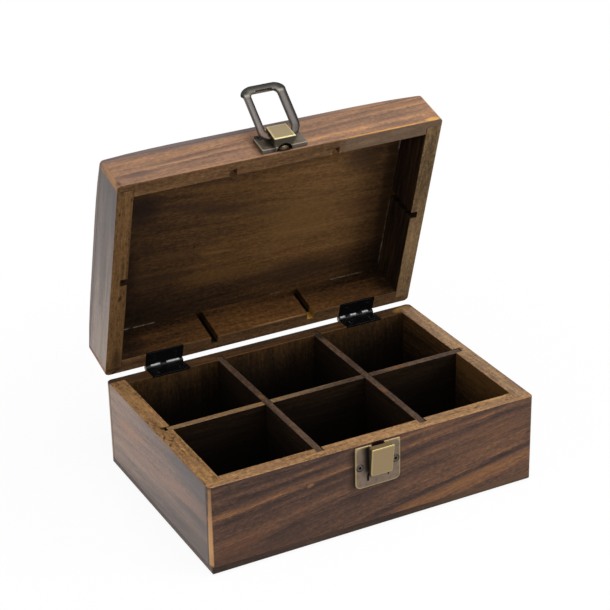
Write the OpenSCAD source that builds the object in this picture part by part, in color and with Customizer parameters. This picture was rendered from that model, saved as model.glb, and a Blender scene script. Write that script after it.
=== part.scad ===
// Tea bag organizer box: a wooden box of six compartments with a crowned lid,
// two butt hinges at the back and a bail latch at the front.
// Millimetres. X runs along the box, Y from front to back and Z up. The origin is
// the middle of the box's underside. The lid is drawn shut and then turned open
// about the hinge pins, and the bail is drawn upright and then tipped forward.

/* [Box] */
// Length of the box, left to right
box_length = 230; // [200:1:280]
// Depth of the box, front to back
box_depth = 156; // [136:1:200]
// Height of the base, from the table to its rim
base_height = 62.4; // [56:0.1:90]
// Thickness of the front and back boards
wall = 10.5; // [9:0.1:13]
// Thickness of the left and right boards
side_wall = 11.2; // [9:0.1:13]
// Thickness of the bottom board
bottom_thickness = 6; // [4.5:0.5:9]
// Radius of the bottom board's lower edges
bottom_edge_radius = 3.5; // [1:0.5:4]
// Radius of the upright outer corners
corner_radius = 2.5; // [1:0.5:4]
// Thickness of the lip that laps the ends of the side boards
lip = 5; // [4.5:0.1:6.5]

/* [Dividers] */
// Thickness of the dividers
divider_thickness = 4.7; // [3:0.1:6]
// Clear width of the middle compartments
middle_compartment = 68.1; // [55:0.1:75]
// Depth of the divider grooves in the walls
groove_depth = 5; // [3:0.1:6]
// Side clearance of a divider in a groove or in a lap slot
groove_clearance = 0.15; // [0.05:0.05:0.3]
// End clearance of a cross divider in its groove
divider_end_clearance = 0.3; // [0.1:0.1:0.6]
// Empty end of the left groove, past the long divider
long_divider_notch = 2.2; // [0.3:0.1:2.5]
// Depth of the dividers' tops below the rim
divider_drop = 0.4; // [0.1:0.1:3]

/* [Lid] */
// Height of the lid's wall boards
lid_wall_height = 26.9; // [24:0.1:40]
// Gap between the two rims when the lid is shut
lid_gap = 0.3; // [0.2:0.1:0.6]
// How far the lid stands open
lid_opening = 73.5; // [0:0.5:180]
// Thickness of the top board at its corners
top_corner_thickness = 1.6; // [1.5:0.1:5]
// Rise of the top board from its ends to its middle
crown_along = 2.6; // [0.5:0.1:5]
// Rise of the top board from its front to its middle
crown_across = 3.2; // [0.5:0.1:6]
// Height and depth of the sanded edge of the top board
top_edge_break = 1; // [0.3:0.1:1.3]

/* [Hinges] */
// Distance from the end of the box to the middle of a hinge
hinge_end_distance = 42.2; // [30:0.1:60]
// Length of a hinge
hinge_length = 27; // [22:1:36]
// Thickness of a hinge leaf, let into the rim flush
leaf_thickness = 1.2; // [0.8:0.1:1.6]
// Outer radius of the hinge knuckles
knuckle_radius = 2; // [1.7:0.1:2.4]
// Radius of the hinge pins
pin_radius = 1; // [0.6:0.05:1.2]
// Radial clearance of a pin in the lid's knuckles
pin_clearance = 0.05; // [0.02:0.01:0.1]
// Distance between the back of the box and a knuckle
knuckle_stand_off = 0.2; // [0.1:0.1:0.5]
// End gap between two knuckles
knuckle_gap = 0.2; // [0.1:0.05:0.4]
// Gap between a knuckle and the other leaf's notch
notch_clearance = 0.35; // [0.2:0.05:0.5]
// Distance from the middle of a hinge to its screws
hinge_screw_spread = 7.8; // [6:0.1:8.5]

/* [Screws] */
// Radius of the screw heads
screw_head_radius = 2.1; // [1.8:0.1:2.3]
// Radius of the screw shanks
screw_shank_radius = 1.1; // [0.9:0.1:1.4]
// Length of the screws
screw_length = 9; // [7:0.5:10]
// Radial clearance round a screw
screw_clearance = 0.03; // [0.01:0.01:0.05]
// Width of the arms of the cross recess
cross_width = 0.6; // [0.4:0.1:0.8]
// Length of the arms of the cross recess
cross_length = 2.4; // [1.6:0.1:2.8]
// Depth of the cross recess
cross_depth = 0.9; // [0.5:0.1:1.2]

/* [Catch on the base] */
// Place of the latch along the box, from its middle
latch_x = -0.3; // [-10:0.1:10]
// Width of both latch plates
latch_width = 32; // [30:0.1:38]
// Height of the catch plate
catch_height = 29.4; // [28:0.1:34]
// Thickness of the catch plate
catch_thickness = 1.2; // [0.8:0.1:1.6]
// Distance from the rim down to the catch plate
catch_drop = 1.3; // [0.5:0.1:2]
// Radius of the catch plate's lower corners
catch_corner_radius = 4; // [1:0.5:6]
// Height of the pressed block on the catch plate
catch_block_height = 20.1; // [18:0.1:23]
// Distance from the plate's upper edge down to the block
catch_block_drop = 0.6; // [0.3:0.1:1.5]
// Width of the block at its top
catch_block_width = 15.5; // [13:0.1:15.6]
// Width of the block at its foot
catch_block_foot_width = 14.2; // [12:0.1:15.4]
// Distance of the block's face from the box at its top
catch_block_reach = 7.1; // [6:0.1:8]
// Distance of the block's face from the box at its foot
catch_block_foot_reach = 4.7; // [4:0.1:5.4]
// Sheet thickness of the block
catch_block_skin = 1.2; // [0.8:0.1:1.6]
// Width of the slot in the top of the block
catch_slot_width = 9; // [6:0.1:11]
// Depth of the slot in the top of the block
catch_slot_depth = 1.9; // [1:0.1:2.4]
// Height of the relief slits below the block
relief_height = 4.4; // [2:0.1:6]
// Width of the relief slits
relief_width = 0.9; // [0.5:0.1:1.2]
// Distance from the middle of the latch to its screws
latch_screw_spread = 12.7; // [11.5:0.1:13.5]
// Height of the catch plate's screws above its lower edge
catch_screw_rise = 15; // [10:0.1:18]

/* [Latch on the lid] */
// Distance from the lid's rim to the latch plate
latch_plate_rise = 1.7; // [0.5:0.1:3]
// Height of the latch plate
latch_plate_height = 16; // [15.6:0.1:18]
// Thickness of the latch plate
latch_plate_thickness = 3.1; // [2:0.1:3.2]
// Radius of the latch plate's upper corners
latch_plate_corner = 2.5; // [1:0.5:3]
// Width of the block that carries the bail, at its lower end
block_width = 15.2; // [14.6:0.1:16]
// Width of the block at its upper end
block_top_width = 13.8; // [13:0.1:15]
// Height of the block
block_height = 14.9; // [14:0.1:15.2]
// Distance from the plate's lower edge up to the block
block_rise = 0.3; // [0:0.1:0.4]
// How far the block's lower end slopes up towards its face
block_slope = 1.6; // [0.5:0.1:2.5]
// Distance of the block's face from the lid
block_reach = 9; // [8.2:0.1:10]
// Radius of the arched hollow under the block
arch_radius = 5; // [4.6:0.1:5.4]
// Height of the arched hollow
arch_height = 3.5; // [3.2:0.1:3.9]
// Length of the arched hollow, from the plate's lower edge
arch_length = 9; // [6:0.5:11]
// Distance from the plate's upper edge down to its screws
latch_screw_drop = 2.5; // [2.4:0.1:4]
// Thickness of the spring tongue
tongue_thickness = 0.7; // [0.4:0.1:0.8]
// Width of the spring tongue
tongue_width = 5.6; // [4:0.1:6]
// How far the tongue's tip lifts
tongue_lift = 1.5; // [0.5:0.1:1.6]
// Length of the tongue that the plate clamps, past the arched hollow
tongue_root = 4; // [2:0.1:5]

/* [Bail] */
// Height of the bail's pivot above the lid's rim
pivot_rise = 9.1; // [8.5:0.1:10.5]
// Distance of the bail's pivot from the lid
pivot_reach = 5.9; // [5.8:0.1:6.6]
// Radius of the bail's pivots
pivot_radius = 1.1; // [0.8:0.05:1.2]
// Radial clearance of the pivots in the block
pivot_clearance = 0.05; // [0.02:0.01:0.1]
// How far a pivot reaches into the block
pivot_depth = 2.4; // [1.5:0.1:3]
// Gap between a leg of the bail and the wider of the two blocks
bail_side_clearance = 1.6; // [0.8:0.1:2.5]
// Gap between the foot of a leg and the block that it pivots in
foot_clearance = 0.4; // [0.2:0.1:0.6]
// Width of the bail's legs
bail_leg = 5.8; // [5.2:0.1:7.5]
// Thickness of the bail
bail_thickness = 2.8; // [2.4:0.1:2.9]
// Width of the bail's bar
bail_bar = 5.8; // [3.5:0.1:7]
// Length of a leg past its pivot
bail_heel = 1.7; // [1.6:0.1:2.2]
// Outer radius of the bail's corners at the bar
bail_corner_radius = 6.5; // [4:0.1:8]
// Inner radius of the bail's corners at the bar
bail_inner_radius = 2.6; // [1:0.1:4]
// Outer radius of the legs' ends
bail_heel_radius = 5; // [2:0.1:5.2]
// Height of the legs' feet past the pivot
foot_height = 2.5; // [2:0.1:4]
// Play of the bail's bar under the catch's block
hook_play = 0.5; // [0.3:0.1:1]
// How far the bail stands off the lid, from lying flat along it
bail_tilt = 25.5; // [0:0.5:90]
// Length of the recess in the bar's inner edge
bar_recess_length = 12; // [6:0.1:14]
// Depth of the recess in the bar's inner edge
bar_recess_depth = 1.3; // [0.5:0.1:2]

/* [Hidden] */

// Overshoot of a cut past the face that it opens
over = 1;
// Smoothness of the round pieces
round_fn = 48;

half_length = box_length / 2;
half_depth = box_depth / 2;
inner_half_length = half_length - side_wall;
inner_half_depth = half_depth - wall;
lid_base = base_height + lid_gap;
lid_wall_top = lid_base + lid_wall_height;

cross_divider_x = (middle_compartment + divider_thickness) / 2;
groove_width = divider_thickness + 2 * groove_clearance;
divider_top = base_height - divider_drop;
divider_height = divider_top - bottom_thickness;
lap_height = divider_height / 2;
cross_divider_length = 2 * (inner_half_depth + groove_depth - divider_end_clearance);
long_divider_left = inner_half_length + groove_depth - long_divider_notch;
long_divider_right = inner_half_length + groove_depth - divider_end_clearance;

hinge_x = half_length - hinge_end_distance;
hinge_y = half_depth + knuckle_radius + knuckle_stand_off;
hinge_z = base_height + lid_gap / 2;
knuckle_count = 5;
knuckle_pitch = hinge_length / knuckle_count;
leaf_reach = hinge_y - inner_half_depth;
leaf_edge = knuckle_radius + notch_clearance;
mortise_clearance = 0.1;
hinge_screw_y = half_depth - wall / 2;

catch_top = base_height - catch_drop;
catch_bottom = catch_top - catch_height;
catch_block_top = catch_top - catch_block_drop;
catch_block_bottom = catch_block_top - catch_block_height;
catch_screw_z = catch_bottom + catch_screw_rise;

latch_plate_bottom = lid_base + latch_plate_rise;
latch_plate_top = latch_plate_bottom + latch_plate_height;
block_bottom = latch_plate_bottom + block_rise;
block_top = block_bottom + block_height;
latch_screw_z = latch_plate_top - latch_screw_drop;
arch_top = latch_plate_bottom + arch_length;
tongue_clearance = 0.3;

pivot_z = lid_base + pivot_rise;
bail_inner_length = pivot_z - catch_block_bottom + hook_play;
bail_length = bail_inner_length + bail_bar;
bail_opening = max(block_width, catch_block_width) + 2 * bail_side_clearance;
bail_width = bail_opening + 2 * bail_leg;
pivot_root = 1;

// The lid's pieces are turned open about the hinge pins
module opened() {
  translate([0, hinge_y, hinge_z])
    rotate([-lid_opening, 0, 0])
      translate([0, -hinge_y, -hinge_z])
        children();
}

// What an outer corner of a plan loses to its radius, at the first quadrant's corner
module corner_loss(x, y, r) {
  translate([x - r, y - r])
    difference() {
      square(r + over);
      circle(r, $fn = round_fn);
    }
}

// Boards of the walls

module long_wall_plan() {
  difference() {
    translate([-half_length, inner_half_depth])
      square([box_length, wall]);
    for (side = [0, 1])
      mirror([side, 0]) {
        translate([inner_half_length, inner_half_depth - over])
          square([side_wall + over, wall - lip + over]);
        translate([cross_divider_x - groove_width / 2, inner_half_depth - over])
          square([groove_width, groove_depth + over]);
        corner_loss(half_length, half_depth, corner_radius);
      }
  }
}

module side_wall_plan() {
  difference() {
    translate([inner_half_length, lip - half_depth])
      square([side_wall, box_depth - 2 * lip]);
    translate([inner_half_length - over, -groove_width / 2])
      square([groove_depth + over, groove_width]);
  }
}

module bottom_plan() {
  difference() {
    translate([-half_length, -half_depth])
      square([box_length, box_depth]);
    for (side_x = [0, 1], side_y = [0, 1])
      mirror([side_x, 0])
        mirror([0, side_y])
          corner_loss(half_length, half_depth, corner_radius);
  }
}

module base_board() {
  color("saddlebrown")
    translate([0, 0, bottom_thickness])
      linear_extrude(base_height - bottom_thickness)
        children();
}

module lid_board() {
  color("sienna")
    translate([0, 0, lid_base])
      linear_extrude(lid_wall_height)
        children();
}

// Screws

module screw_profile(play) {
  head_depth = screw_head_radius - screw_shank_radius;
  polygon([
    [0, 0],
    [screw_head_radius + play, 0],
    [screw_shank_radius + play, -head_depth],
    [screw_shank_radius + play, -screw_length + screw_shank_radius],
    [0, -screw_length]
  ]);
}

// A countersunk screw with its head at the origin, driven down along Z
module screw() {
  difference() {
    rotate_extrude($fn = round_fn)
      screw_profile(0);
    for (turn = [0, 90])
      rotate([0, 0, turn])
        translate([-cross_length / 2, -cross_width / 2, -cross_depth])
          cube([cross_length, cross_width, cross_depth + over]);
  }
}

// The hole that a screw cuts
module screw_hole() {
  rotate_extrude($fn = round_fn)
    screw_profile(screw_clearance);
}

module at_base_hinge_screws() {
  for (side = [-1, 1], spread = [-1, 1])
    translate([side * hinge_x + spread * hinge_screw_spread, hinge_screw_y, base_height])
      children();
}

module at_lid_hinge_screws() {
  for (side = [-1, 1], spread = [-1, 1])
    translate([side * hinge_x + spread * hinge_screw_spread, hinge_screw_y, lid_base])
      rotate([180, 0, 0])
        children();
}

// The latch's screws are driven in from the front, each pair at its own height and plate
module at_latch_screws(plate_thickness, height) {
  for (spread = [-1, 1])
    translate([latch_x + spread * latch_screw_spread, -half_depth - plate_thickness, height])
      rotate([90, 0, 0])
        children();
}

// The recesses for the hinge leaves, across the whole rim
module hinge_mortises(floor_z) {
  for (side = [-1, 1])
    translate([side * hinge_x - hinge_length / 2 - mortise_clearance, inner_half_depth - over, floor_z])
      cube([hinge_length + 2 * mortise_clearance, wall + 2 * over, leaf_thickness + over]);
}

// Base

module base_front_panel() {
  difference() {
    base_board()
      mirror([0, 1])
        long_wall_plan();
    at_latch_screws(catch_thickness, catch_screw_z)
      screw_hole();
  }
}

module base_back_panel() {
  difference() {
    base_board()
      long_wall_plan();
    hinge_mortises(base_height - leaf_thickness);
    at_base_hinge_screws()
      screw_hole();
  }
}

module base_left_panel() {
  base_board()
    mirror([1, 0])
      side_wall_plan();
}

module base_right_panel() {
  base_board()
    side_wall_plan();
}

// Section of the bottom board across its length or its depth
module bottom_section(half_width) {
  difference() {
    translate([-half_width, 0])
      square([2 * half_width, bottom_thickness]);
    for (side = [0, 1])
      mirror([side, 0])
        translate([half_width, 0])
          rotate(-90)
            corner_loss(0, 0, bottom_edge_radius);
  }
}

module base_bottom_panel() {
  color("saddlebrown")
    intersection() {
      linear_extrude(bottom_thickness)
        bottom_plan();
      translate([0, half_depth, 0])
        rotate([90, 0, 0])
          linear_extrude(box_depth)
            bottom_section(half_length);
      translate([-half_length, 0, 0])
        rotate([90, 0, 90])
          linear_extrude(box_length)
            bottom_section(half_depth);
    }
}

module long_divider() {
  color("dimgray")
    difference() {
      translate([-long_divider_left, -divider_thickness / 2, bottom_thickness])
        cube([long_divider_left + long_divider_right, divider_thickness, divider_height]);
      for (side = [-1, 1])
        translate([side * cross_divider_x - groove_width / 2, -divider_thickness, divider_top - lap_height])
          cube([groove_width, 2 * divider_thickness, lap_height + over]);
    }
}

module cross_divider() {
  color("dimgray")
    difference() {
      translate([cross_divider_x - divider_thickness / 2, -cross_divider_length / 2, bottom_thickness])
        cube([divider_thickness, cross_divider_length, divider_height]);
      translate([cross_divider_x - divider_thickness, -groove_width / 2, bottom_thickness - over])
        cube([2 * divider_thickness, groove_width, lap_height + over]);
    }
}

module cross_divider_left() {
  mirror([1, 0, 0])
    cross_divider();
}

module cross_divider_right() {
  cross_divider();
}

// Lid

module lid_front_panel() {
  opened()
    difference() {
      lid_board()
        mirror([0, 1])
          long_wall_plan();
      at_latch_screws(latch_plate_thickness, latch_screw_z)
        screw_hole();
    }
}

module lid_back_panel() {
  opened()
    difference() {
      lid_board()
        long_wall_plan();
      hinge_mortises(lid_base - over);
      at_lid_hinge_screws()
        screw_hole();
    }
}

module lid_left_panel() {
  opened()
    lid_board()
      mirror([1, 0])
        side_wall_plan();
}

module lid_right_panel() {
  opened()
    lid_board()
      side_wall_plan();
}

// The top board is a stack of rings, from its outline to its middle. Each ring is a
// rounded rectangle, and the crown gives the height of each of its points.
crown_power_along = 5;
crown_power_across = 4;
long_steps = 14;
short_steps = 10;
corner_steps = 4;
crown_rings = 8;
innermost_inset = half_depth - 3 * corner_radius;
break_share = 0.3;
ring_insets = [
  0,
  break_share * top_edge_break,
  for (i = [0 : crown_rings])
    top_edge_break + (innermost_inset - top_edge_break) * pow(i / crown_rings, 2)
];
ring_drops = [top_edge_break, break_share * top_edge_break];

function crown_height(x, y) =
  top_corner_thickness
  + crown_along * (1 - pow(abs(x) / half_length, crown_power_along))
  + crown_across * (1 - pow(abs(y) / half_depth, crown_power_across));

// One quarter turn of the corner whose centre is at cx, cy
function corner_arc(cx, cy, start) = [
  for (i = [0 : corner_steps])
    let (angle = start + 90 * i / corner_steps)
      [cx + corner_radius * cos(angle), cy + corner_radius * sin(angle)]
];

// Points between two corners, without the corners' own
function edge_points(from, to, steps) = [
  for (i = [1 : steps - 1]) from + (to - from) * i / steps
];

function ring(inset) =
  let (
    a = half_length - inset - corner_radius,
    b = half_depth - inset - corner_radius,
    r = corner_radius
  )
  concat(
    corner_arc(a, b, 0), edge_points([a, b + r], [-a, b + r], long_steps),
    corner_arc(-a, b, 90), edge_points([-a - r, b], [-a - r, -b], short_steps),
    corner_arc(-a, -b, 180), edge_points([-a, -b - r], [a, -b - r], long_steps),
    corner_arc(a, -b, 270), edge_points([a + r, -b], [a + r, b], short_steps)
  );

function ring_level(index) = index < len(ring_drops) ? ring_drops[index] : 0;

module lid_top_panel() {
  ring_size = len(ring(0));
  ring_count = len(ring_insets);
  foot = [for (p = ring(0)) [p.x, p.y, 0]];
  shell = [
    for (index = [0 : ring_count - 1])
      for (p = ring(ring_insets[index]))
        [p.x, p.y, crown_height(p.x, p.y) - ring_level(index)]
  ];
  points = concat(foot, shell, [[0, 0, crown_height(0, 0)], [0, 0, 0]]);
  top_middle = ring_size * (ring_count + 1);
  foot_middle = top_middle + 1;
  sides = [
    for (level = [0 : ring_count - 1])
      for (i = [0 : ring_size - 1])
        let (
          next = (i + 1) % ring_size,
          low = level * ring_size,
          high = low + ring_size
        )
        each [
          [low + i, high + i, high + next],
          [low + i, high + next, low + next]
        ]
  ];
  caps = [
    for (i = [0 : ring_size - 1])
      let (
        next = (i + 1) % ring_size,
        last_ring = ring_count * ring_size
      )
        each [
          [last_ring + i, top_middle, last_ring + next],
          [i, next, foot_middle]
        ]
  ];
  color("sienna")
    opened()
      translate([0, 0, lid_wall_top])
        polyhedron(points = points, faces = concat(sides, caps));
}

// Hinges. A leaf lies on the side of its pin given by up: 1 over it, -1 under it.
// The lid's leaf has the odd knuckles and the base's leaf the even ones.

module leaf(up, first_knuckle, bore_radius) {
  leaf_z = up > 0 ? lid_gap / 2 : -lid_gap / 2 - leaf_thickness;
  difference() {
    union() {
      translate([-hinge_length / 2, -leaf_reach, leaf_z])
        cube([hinge_length, leaf_reach - leaf_edge, leaf_thickness]);
      for (k = [first_knuckle : 2 : knuckle_count - 1])
        translate([-hinge_length / 2 + k * knuckle_pitch + knuckle_gap / 2, 0, 0]) {
          translate([0, -leaf_edge - over, leaf_z])
            cube([knuckle_pitch - knuckle_gap, leaf_edge + over, leaf_thickness]);
          rotate([0, 90, 0])
            cylinder(knuckle_pitch - knuckle_gap, r = knuckle_radius, $fn = round_fn);
        }
    }
    translate([-hinge_length, 0, 0])
      rotate([0, 90, 0])
        cylinder(2 * hinge_length, r = bore_radius, $fn = round_fn);
    for (spread = [-1, 1])
      translate([spread * hinge_screw_spread, hinge_screw_y - hinge_y, up * lid_gap / 2])
        rotate([up > 0 ? 180 : 0, 0, 0])
          screw_hole();
  }
}

module base_leaf(side) {
  color("black")
    translate([side * hinge_x, hinge_y, hinge_z])
      leaf(-1, 1, pin_radius + pin_clearance / 2);
}

module lid_leaf(side) {
  color("black")
    opened()
      translate([side * hinge_x, hinge_y, hinge_z])
        leaf(1, 0, pin_radius + pin_clearance);
}

module hinge_pin(side) {
  color("dimgray")
    translate([side * hinge_x - hinge_length / 2, hinge_y, hinge_z])
      rotate([0, 90, 0])
        cylinder(hinge_length, r = pin_radius, $fn = round_fn);
}

module hinge_left_base_leaf() {
  base_leaf(-1);
}

module hinge_right_base_leaf() {
  base_leaf(1);
}

module hinge_left_lid_leaf() {
  lid_leaf(-1);
}

module hinge_right_lid_leaf() {
  lid_leaf(1);
}

module hinge_left_pin() {
  hinge_pin(-1);
}

module hinge_right_pin() {
  hinge_pin(1);
}

module base_hinge_screws() {
  color("black")
    at_base_hinge_screws()
      screw();
}

module lid_hinge_screws() {
  color("black")
    opened()
      at_lid_hinge_screws()
        screw();
}

// Catch on the base's front

// Side view of the catch's block, less a skin all round
module catch_block_side(skin) {
  polygon([
    [-over, catch_block_bottom + skin],
    [catch_block_foot_reach - skin, catch_block_bottom + skin],
    [catch_block_reach - skin, catch_block_top - skin],
    [-over, catch_block_top - skin]
  ]);
}

// Front view of the catch's block, less a skin all round
module catch_block_front(skin) {
  polygon([
    [-catch_block_foot_width / 2 + skin, catch_block_bottom - over],
    [catch_block_foot_width / 2 - skin, catch_block_bottom - over],
    [catch_block_width / 2 - skin, catch_block_top + over],
    [-catch_block_width / 2 + skin, catch_block_top + over]
  ]);
}

// Turns a side view, drawn as reach and height, into a bar as wide as given
module side_bar(width) {
  translate([latch_x + width / 2, -half_depth, 0])
    rotate([0, 0, -90])
      rotate([90, 0, 0])
        linear_extrude(width)
          children();
}

// Turns a front view into a slab from the box's face out to the given reach
module front_slab(reach) {
  translate([latch_x, -half_depth, 0])
    rotate([90, 0, 0])
      linear_extrude(reach)
        children();
}

module catch_block(skin) {
  intersection() {
    side_bar(catch_block_width)
      catch_block_side(skin);
    translate([0, over, 0])
      front_slab(catch_block_reach + 2 * over)
        catch_block_front(skin);
  }
}

module catch_plate_outline() {
  difference() {
    translate([-latch_width / 2, catch_bottom])
      square([latch_width, catch_height]);
    for (side = [0, 1])
      mirror([side, 0])
        translate([latch_width / 2, catch_bottom])
          rotate(-90)
            corner_loss(0, 0, catch_corner_radius);
  }
}

module catch_plate() {
  slot_bottom = catch_block_top - catch_block_skin - over;
  color("darkkhaki")
    difference() {
      union() {
        front_slab(catch_thickness)
          catch_plate_outline();
        intersection() {
          catch_block(0);
          front_slab(catch_block_reach)
            translate([-latch_width / 2, catch_bottom])
              square([latch_width, catch_height]);
        }
      }
      catch_block(catch_block_skin);
      translate([latch_x - catch_slot_width / 2, -half_depth - catch_slot_depth, slot_bottom])
        cube([catch_slot_width, catch_slot_depth + over, catch_top - slot_bottom + over]);
      for (side = [-1, 1])
        translate([
          latch_x + side * (catch_block_foot_width - relief_width) / 2 - relief_width / 2,
          -half_depth - catch_thickness - over,
          catch_block_bottom - relief_height
        ])
          cube([relief_width, catch_thickness + 2 * over, relief_height]);
      at_latch_screws(catch_thickness, catch_screw_z)
        screw_hole();
    }
}

module catch_screws() {
  color("darkkhaki")
    at_latch_screws(catch_thickness, catch_screw_z)
      screw();
}

// Latch on the lid's front

module latch_plate_outline() {
  difference() {
    translate([-latch_width / 2, latch_plate_bottom])
      square([latch_width, latch_plate_height]);
    for (side = [0, 1])
      mirror([side, 0])
        corner_loss(latch_width / 2, latch_plate_top, latch_plate_corner);
  }
}

module latch_block() {
  intersection() {
    side_bar(block_width)
      polygon([
        [0, block_bottom],
        [latch_plate_thickness, block_bottom],
        [block_reach, block_bottom + block_slope],
        [block_reach, block_top],
        [0, block_top]
      ]);
    front_slab(block_reach)
      polygon([
        [-block_width / 2, block_bottom],
        [block_width / 2, block_bottom],
        [block_top_width / 2, block_top],
        [-block_top_width / 2, block_top]
      ]);
  }
}

module latch_plate() {
  seat_width = tongue_width + 2 * tongue_clearance;
  color("darkkhaki")
    opened()
      difference() {
        union() {
          front_slab(latch_plate_thickness)
            latch_plate_outline();
          latch_block();
        }
        translate([latch_x, arch_radius - arch_height - half_depth, latch_plate_bottom - over])
          cylinder(arch_length + over, r = arch_radius, $fn = round_fn);
        translate([latch_x - seat_width / 2, -half_depth - tongue_thickness, arch_top - over])
          cube([seat_width, tongue_thickness + over, tongue_root + tongue_clearance + over]);
        translate([latch_x - block_width, -half_depth - pivot_reach, pivot_z])
          rotate([0, 90, 0])
            cylinder(2 * block_width, r = pivot_radius + pivot_clearance, $fn = round_fn);
        at_latch_screws(latch_plate_thickness, latch_screw_z)
          screw_hole();
      }
}

module latch_screws() {
  color("darkkhaki")
    opened()
      at_latch_screws(latch_plate_thickness, latch_screw_z)
        screw();
}

// A leaf spring: its root is clamped under the plate, and its tip lifts inside the arch
module latch_spring() {
  tip_z = latch_plate_bottom + tongue_clearance;
  bend_z = (tip_z + arch_top) / 2;
  color("gold")
    opened()
      side_bar(tongue_width)
        polygon([
          [0, arch_top + tongue_root],
          [0, bend_z],
          [tongue_lift, tip_z],
          [tongue_lift + tongue_thickness, tip_z],
          [tongue_thickness, bend_z + tongue_thickness],
          [tongue_thickness, arch_top + tongue_root]
        ]);
}

// Bail, drawn upright in the plane of its pivot

// The opening narrows at the feet, which turn in to the block
module bail_opening_outline() {
  foot_half = block_width / 2 + foot_clearance;
  opening_half = bail_opening / 2;
  difference() {
    polygon([
      [-foot_half, -bail_heel - over],
      [foot_half, -bail_heel - over],
      [foot_half, foot_height],
      [opening_half, foot_height + 2 * (opening_half - foot_half)],
      [opening_half, bail_inner_length],
      [-opening_half, bail_inner_length],
      [-opening_half, foot_height + 2 * (opening_half - foot_half)],
      [-foot_half, foot_height]
    ]);
    for (side = [0, 1])
      mirror([side, 0])
        corner_loss(opening_half, bail_inner_length, bail_inner_radius);
  }
}

module bail_outline() {
  difference() {
    translate([-bail_width / 2, -bail_heel])
      square([bail_width, bail_length + bail_heel]);
    bail_opening_outline();
    for (side = [0, 1])
      mirror([side, 0]) {
        corner_loss(bail_width / 2, bail_length, bail_corner_radius);
        translate([bail_width / 2, -bail_heel])
          rotate(-90)
            corner_loss(0, 0, bail_heel_radius);
      }
  }
}

module latch_bail() {
  color("dimgray")
    opened()
      translate([latch_x, -half_depth - pivot_reach, pivot_z])
        rotate([bail_tilt, 0, 0])
          union() {
            difference() {
              translate([0, bail_thickness / 2, 0])
                rotate([90, 0, 0])
                  linear_extrude(bail_thickness)
                    bail_outline();
              translate([-bar_recess_length / 2, -bail_thickness, bail_inner_length - over])
                cube([bar_recess_length, bail_thickness, bar_recess_depth + over]);
            }
            for (side = [0, 1])
              mirror([side, 0, 0])
                translate([block_width / 2 - pivot_depth, 0, 0])
                  rotate([0, 90, 0])
                    cylinder(
                      pivot_depth + foot_clearance + pivot_root,
                      r = pivot_radius,
                      $fn = round_fn
                    );
          }
}

base_front_panel();
base_back_panel();
base_left_panel();
base_right_panel();
base_bottom_panel();
long_divider();
cross_divider_left();
cross_divider_right();
lid_front_panel();
lid_back_panel();
lid_left_panel();
lid_right_panel();
lid_top_panel();
hinge_left_base_leaf();
hinge_left_lid_leaf();
hinge_left_pin();
hinge_right_base_leaf();
hinge_right_lid_leaf();
hinge_right_pin();
base_hinge_screws();
lid_hinge_screws();
catch_plate();
catch_screws();
latch_plate();
latch_screws();
latch_spring();
latch_bail();
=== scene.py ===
"""Looks of the wooden tea bag box: stained boards, an antique brass latch and black hinges.

Lengths in the lists below are millimetres, as in the part's source; meshes are metres.
The lid's boards are described as they lie with the lid shut.
"""

import math
import random

import bmesh
import bpy
from mathutils import Matrix, Vector


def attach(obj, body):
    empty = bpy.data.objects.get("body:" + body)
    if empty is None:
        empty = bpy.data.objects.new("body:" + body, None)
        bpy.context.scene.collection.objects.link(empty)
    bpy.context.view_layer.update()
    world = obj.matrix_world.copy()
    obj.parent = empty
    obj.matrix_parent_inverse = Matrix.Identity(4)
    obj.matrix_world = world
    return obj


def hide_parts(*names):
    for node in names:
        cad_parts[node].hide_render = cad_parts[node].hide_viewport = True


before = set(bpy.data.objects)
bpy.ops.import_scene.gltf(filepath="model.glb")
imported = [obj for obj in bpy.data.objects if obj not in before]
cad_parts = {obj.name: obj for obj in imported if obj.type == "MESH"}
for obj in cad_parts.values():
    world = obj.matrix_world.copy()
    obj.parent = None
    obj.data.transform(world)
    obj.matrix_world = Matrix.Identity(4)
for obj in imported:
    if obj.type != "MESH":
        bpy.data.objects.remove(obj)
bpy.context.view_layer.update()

MM = 0.001

# The box
HALF_LENGTH, HALF_DEPTH = 115.0, 78.0
INNER_LENGTH, INNER_DEPTH = 103.8, 67.5
BASE_RIM, LID_RIM = 62.4, 62.7
BOTTOM = 6.0
LIP = 5.0
CROSS_DIVIDER_X = 36.4
# The walls' rounded upright corners
CORNER = 2.5

# The latch
LATCH_X = -0.3
PLATE_HALF_WIDTH = 16.0
CATCH_FACE = HALF_DEPTH + 1.2
CATCH_TOP, CATCH_FOOT = 61.1, 31.7
CATCH_BLOCK_TOP, CATCH_BLOCK_FOOT = 60.5, 40.4
CATCH_FOOT_FRONT, CATCH_HEAD_FRONT = HALF_DEPTH + 4.7, HALF_DEPTH + 7.1
CATCH_SCREW_Z = 46.7
CATCH_BLOCK_X, CATCH_FOOT_HALF, CATCH_HEAD_HALF = LATCH_X + 0.9, 7.8, 8.2
LATCH_FACE = HALF_DEPTH + 3.1
LATCH_FOOT, LATCH_TOP = 64.4, 80.4
LATCH_BLOCK_FOOT, LATCH_BLOCK_TOP, LATCH_BLOCK_FRONT = 64.7, 79.6, HALF_DEPTH + 9.0
LATCH_SCREW_Z = 77.9
SCREW_SPREAD = 12.7
SCREW_HEAD, SCREW_SHANK, COUNTERSINK = 2.1, 1.1, 2.45
CATCH_SLOT_HALF, CATCH_SLOT_DEPTH, CATCH_POCKET = 4.5, 2.2, 54.0
SLIT_WIDTH = 0.9
ARCH_HALF, ARCH_HEIGHT, ARCH_TOP = 5.3, 4.8, 73.4
# How much higher the upper block's foot is at its front
BLOCK_LEAN = 1.6

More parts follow.
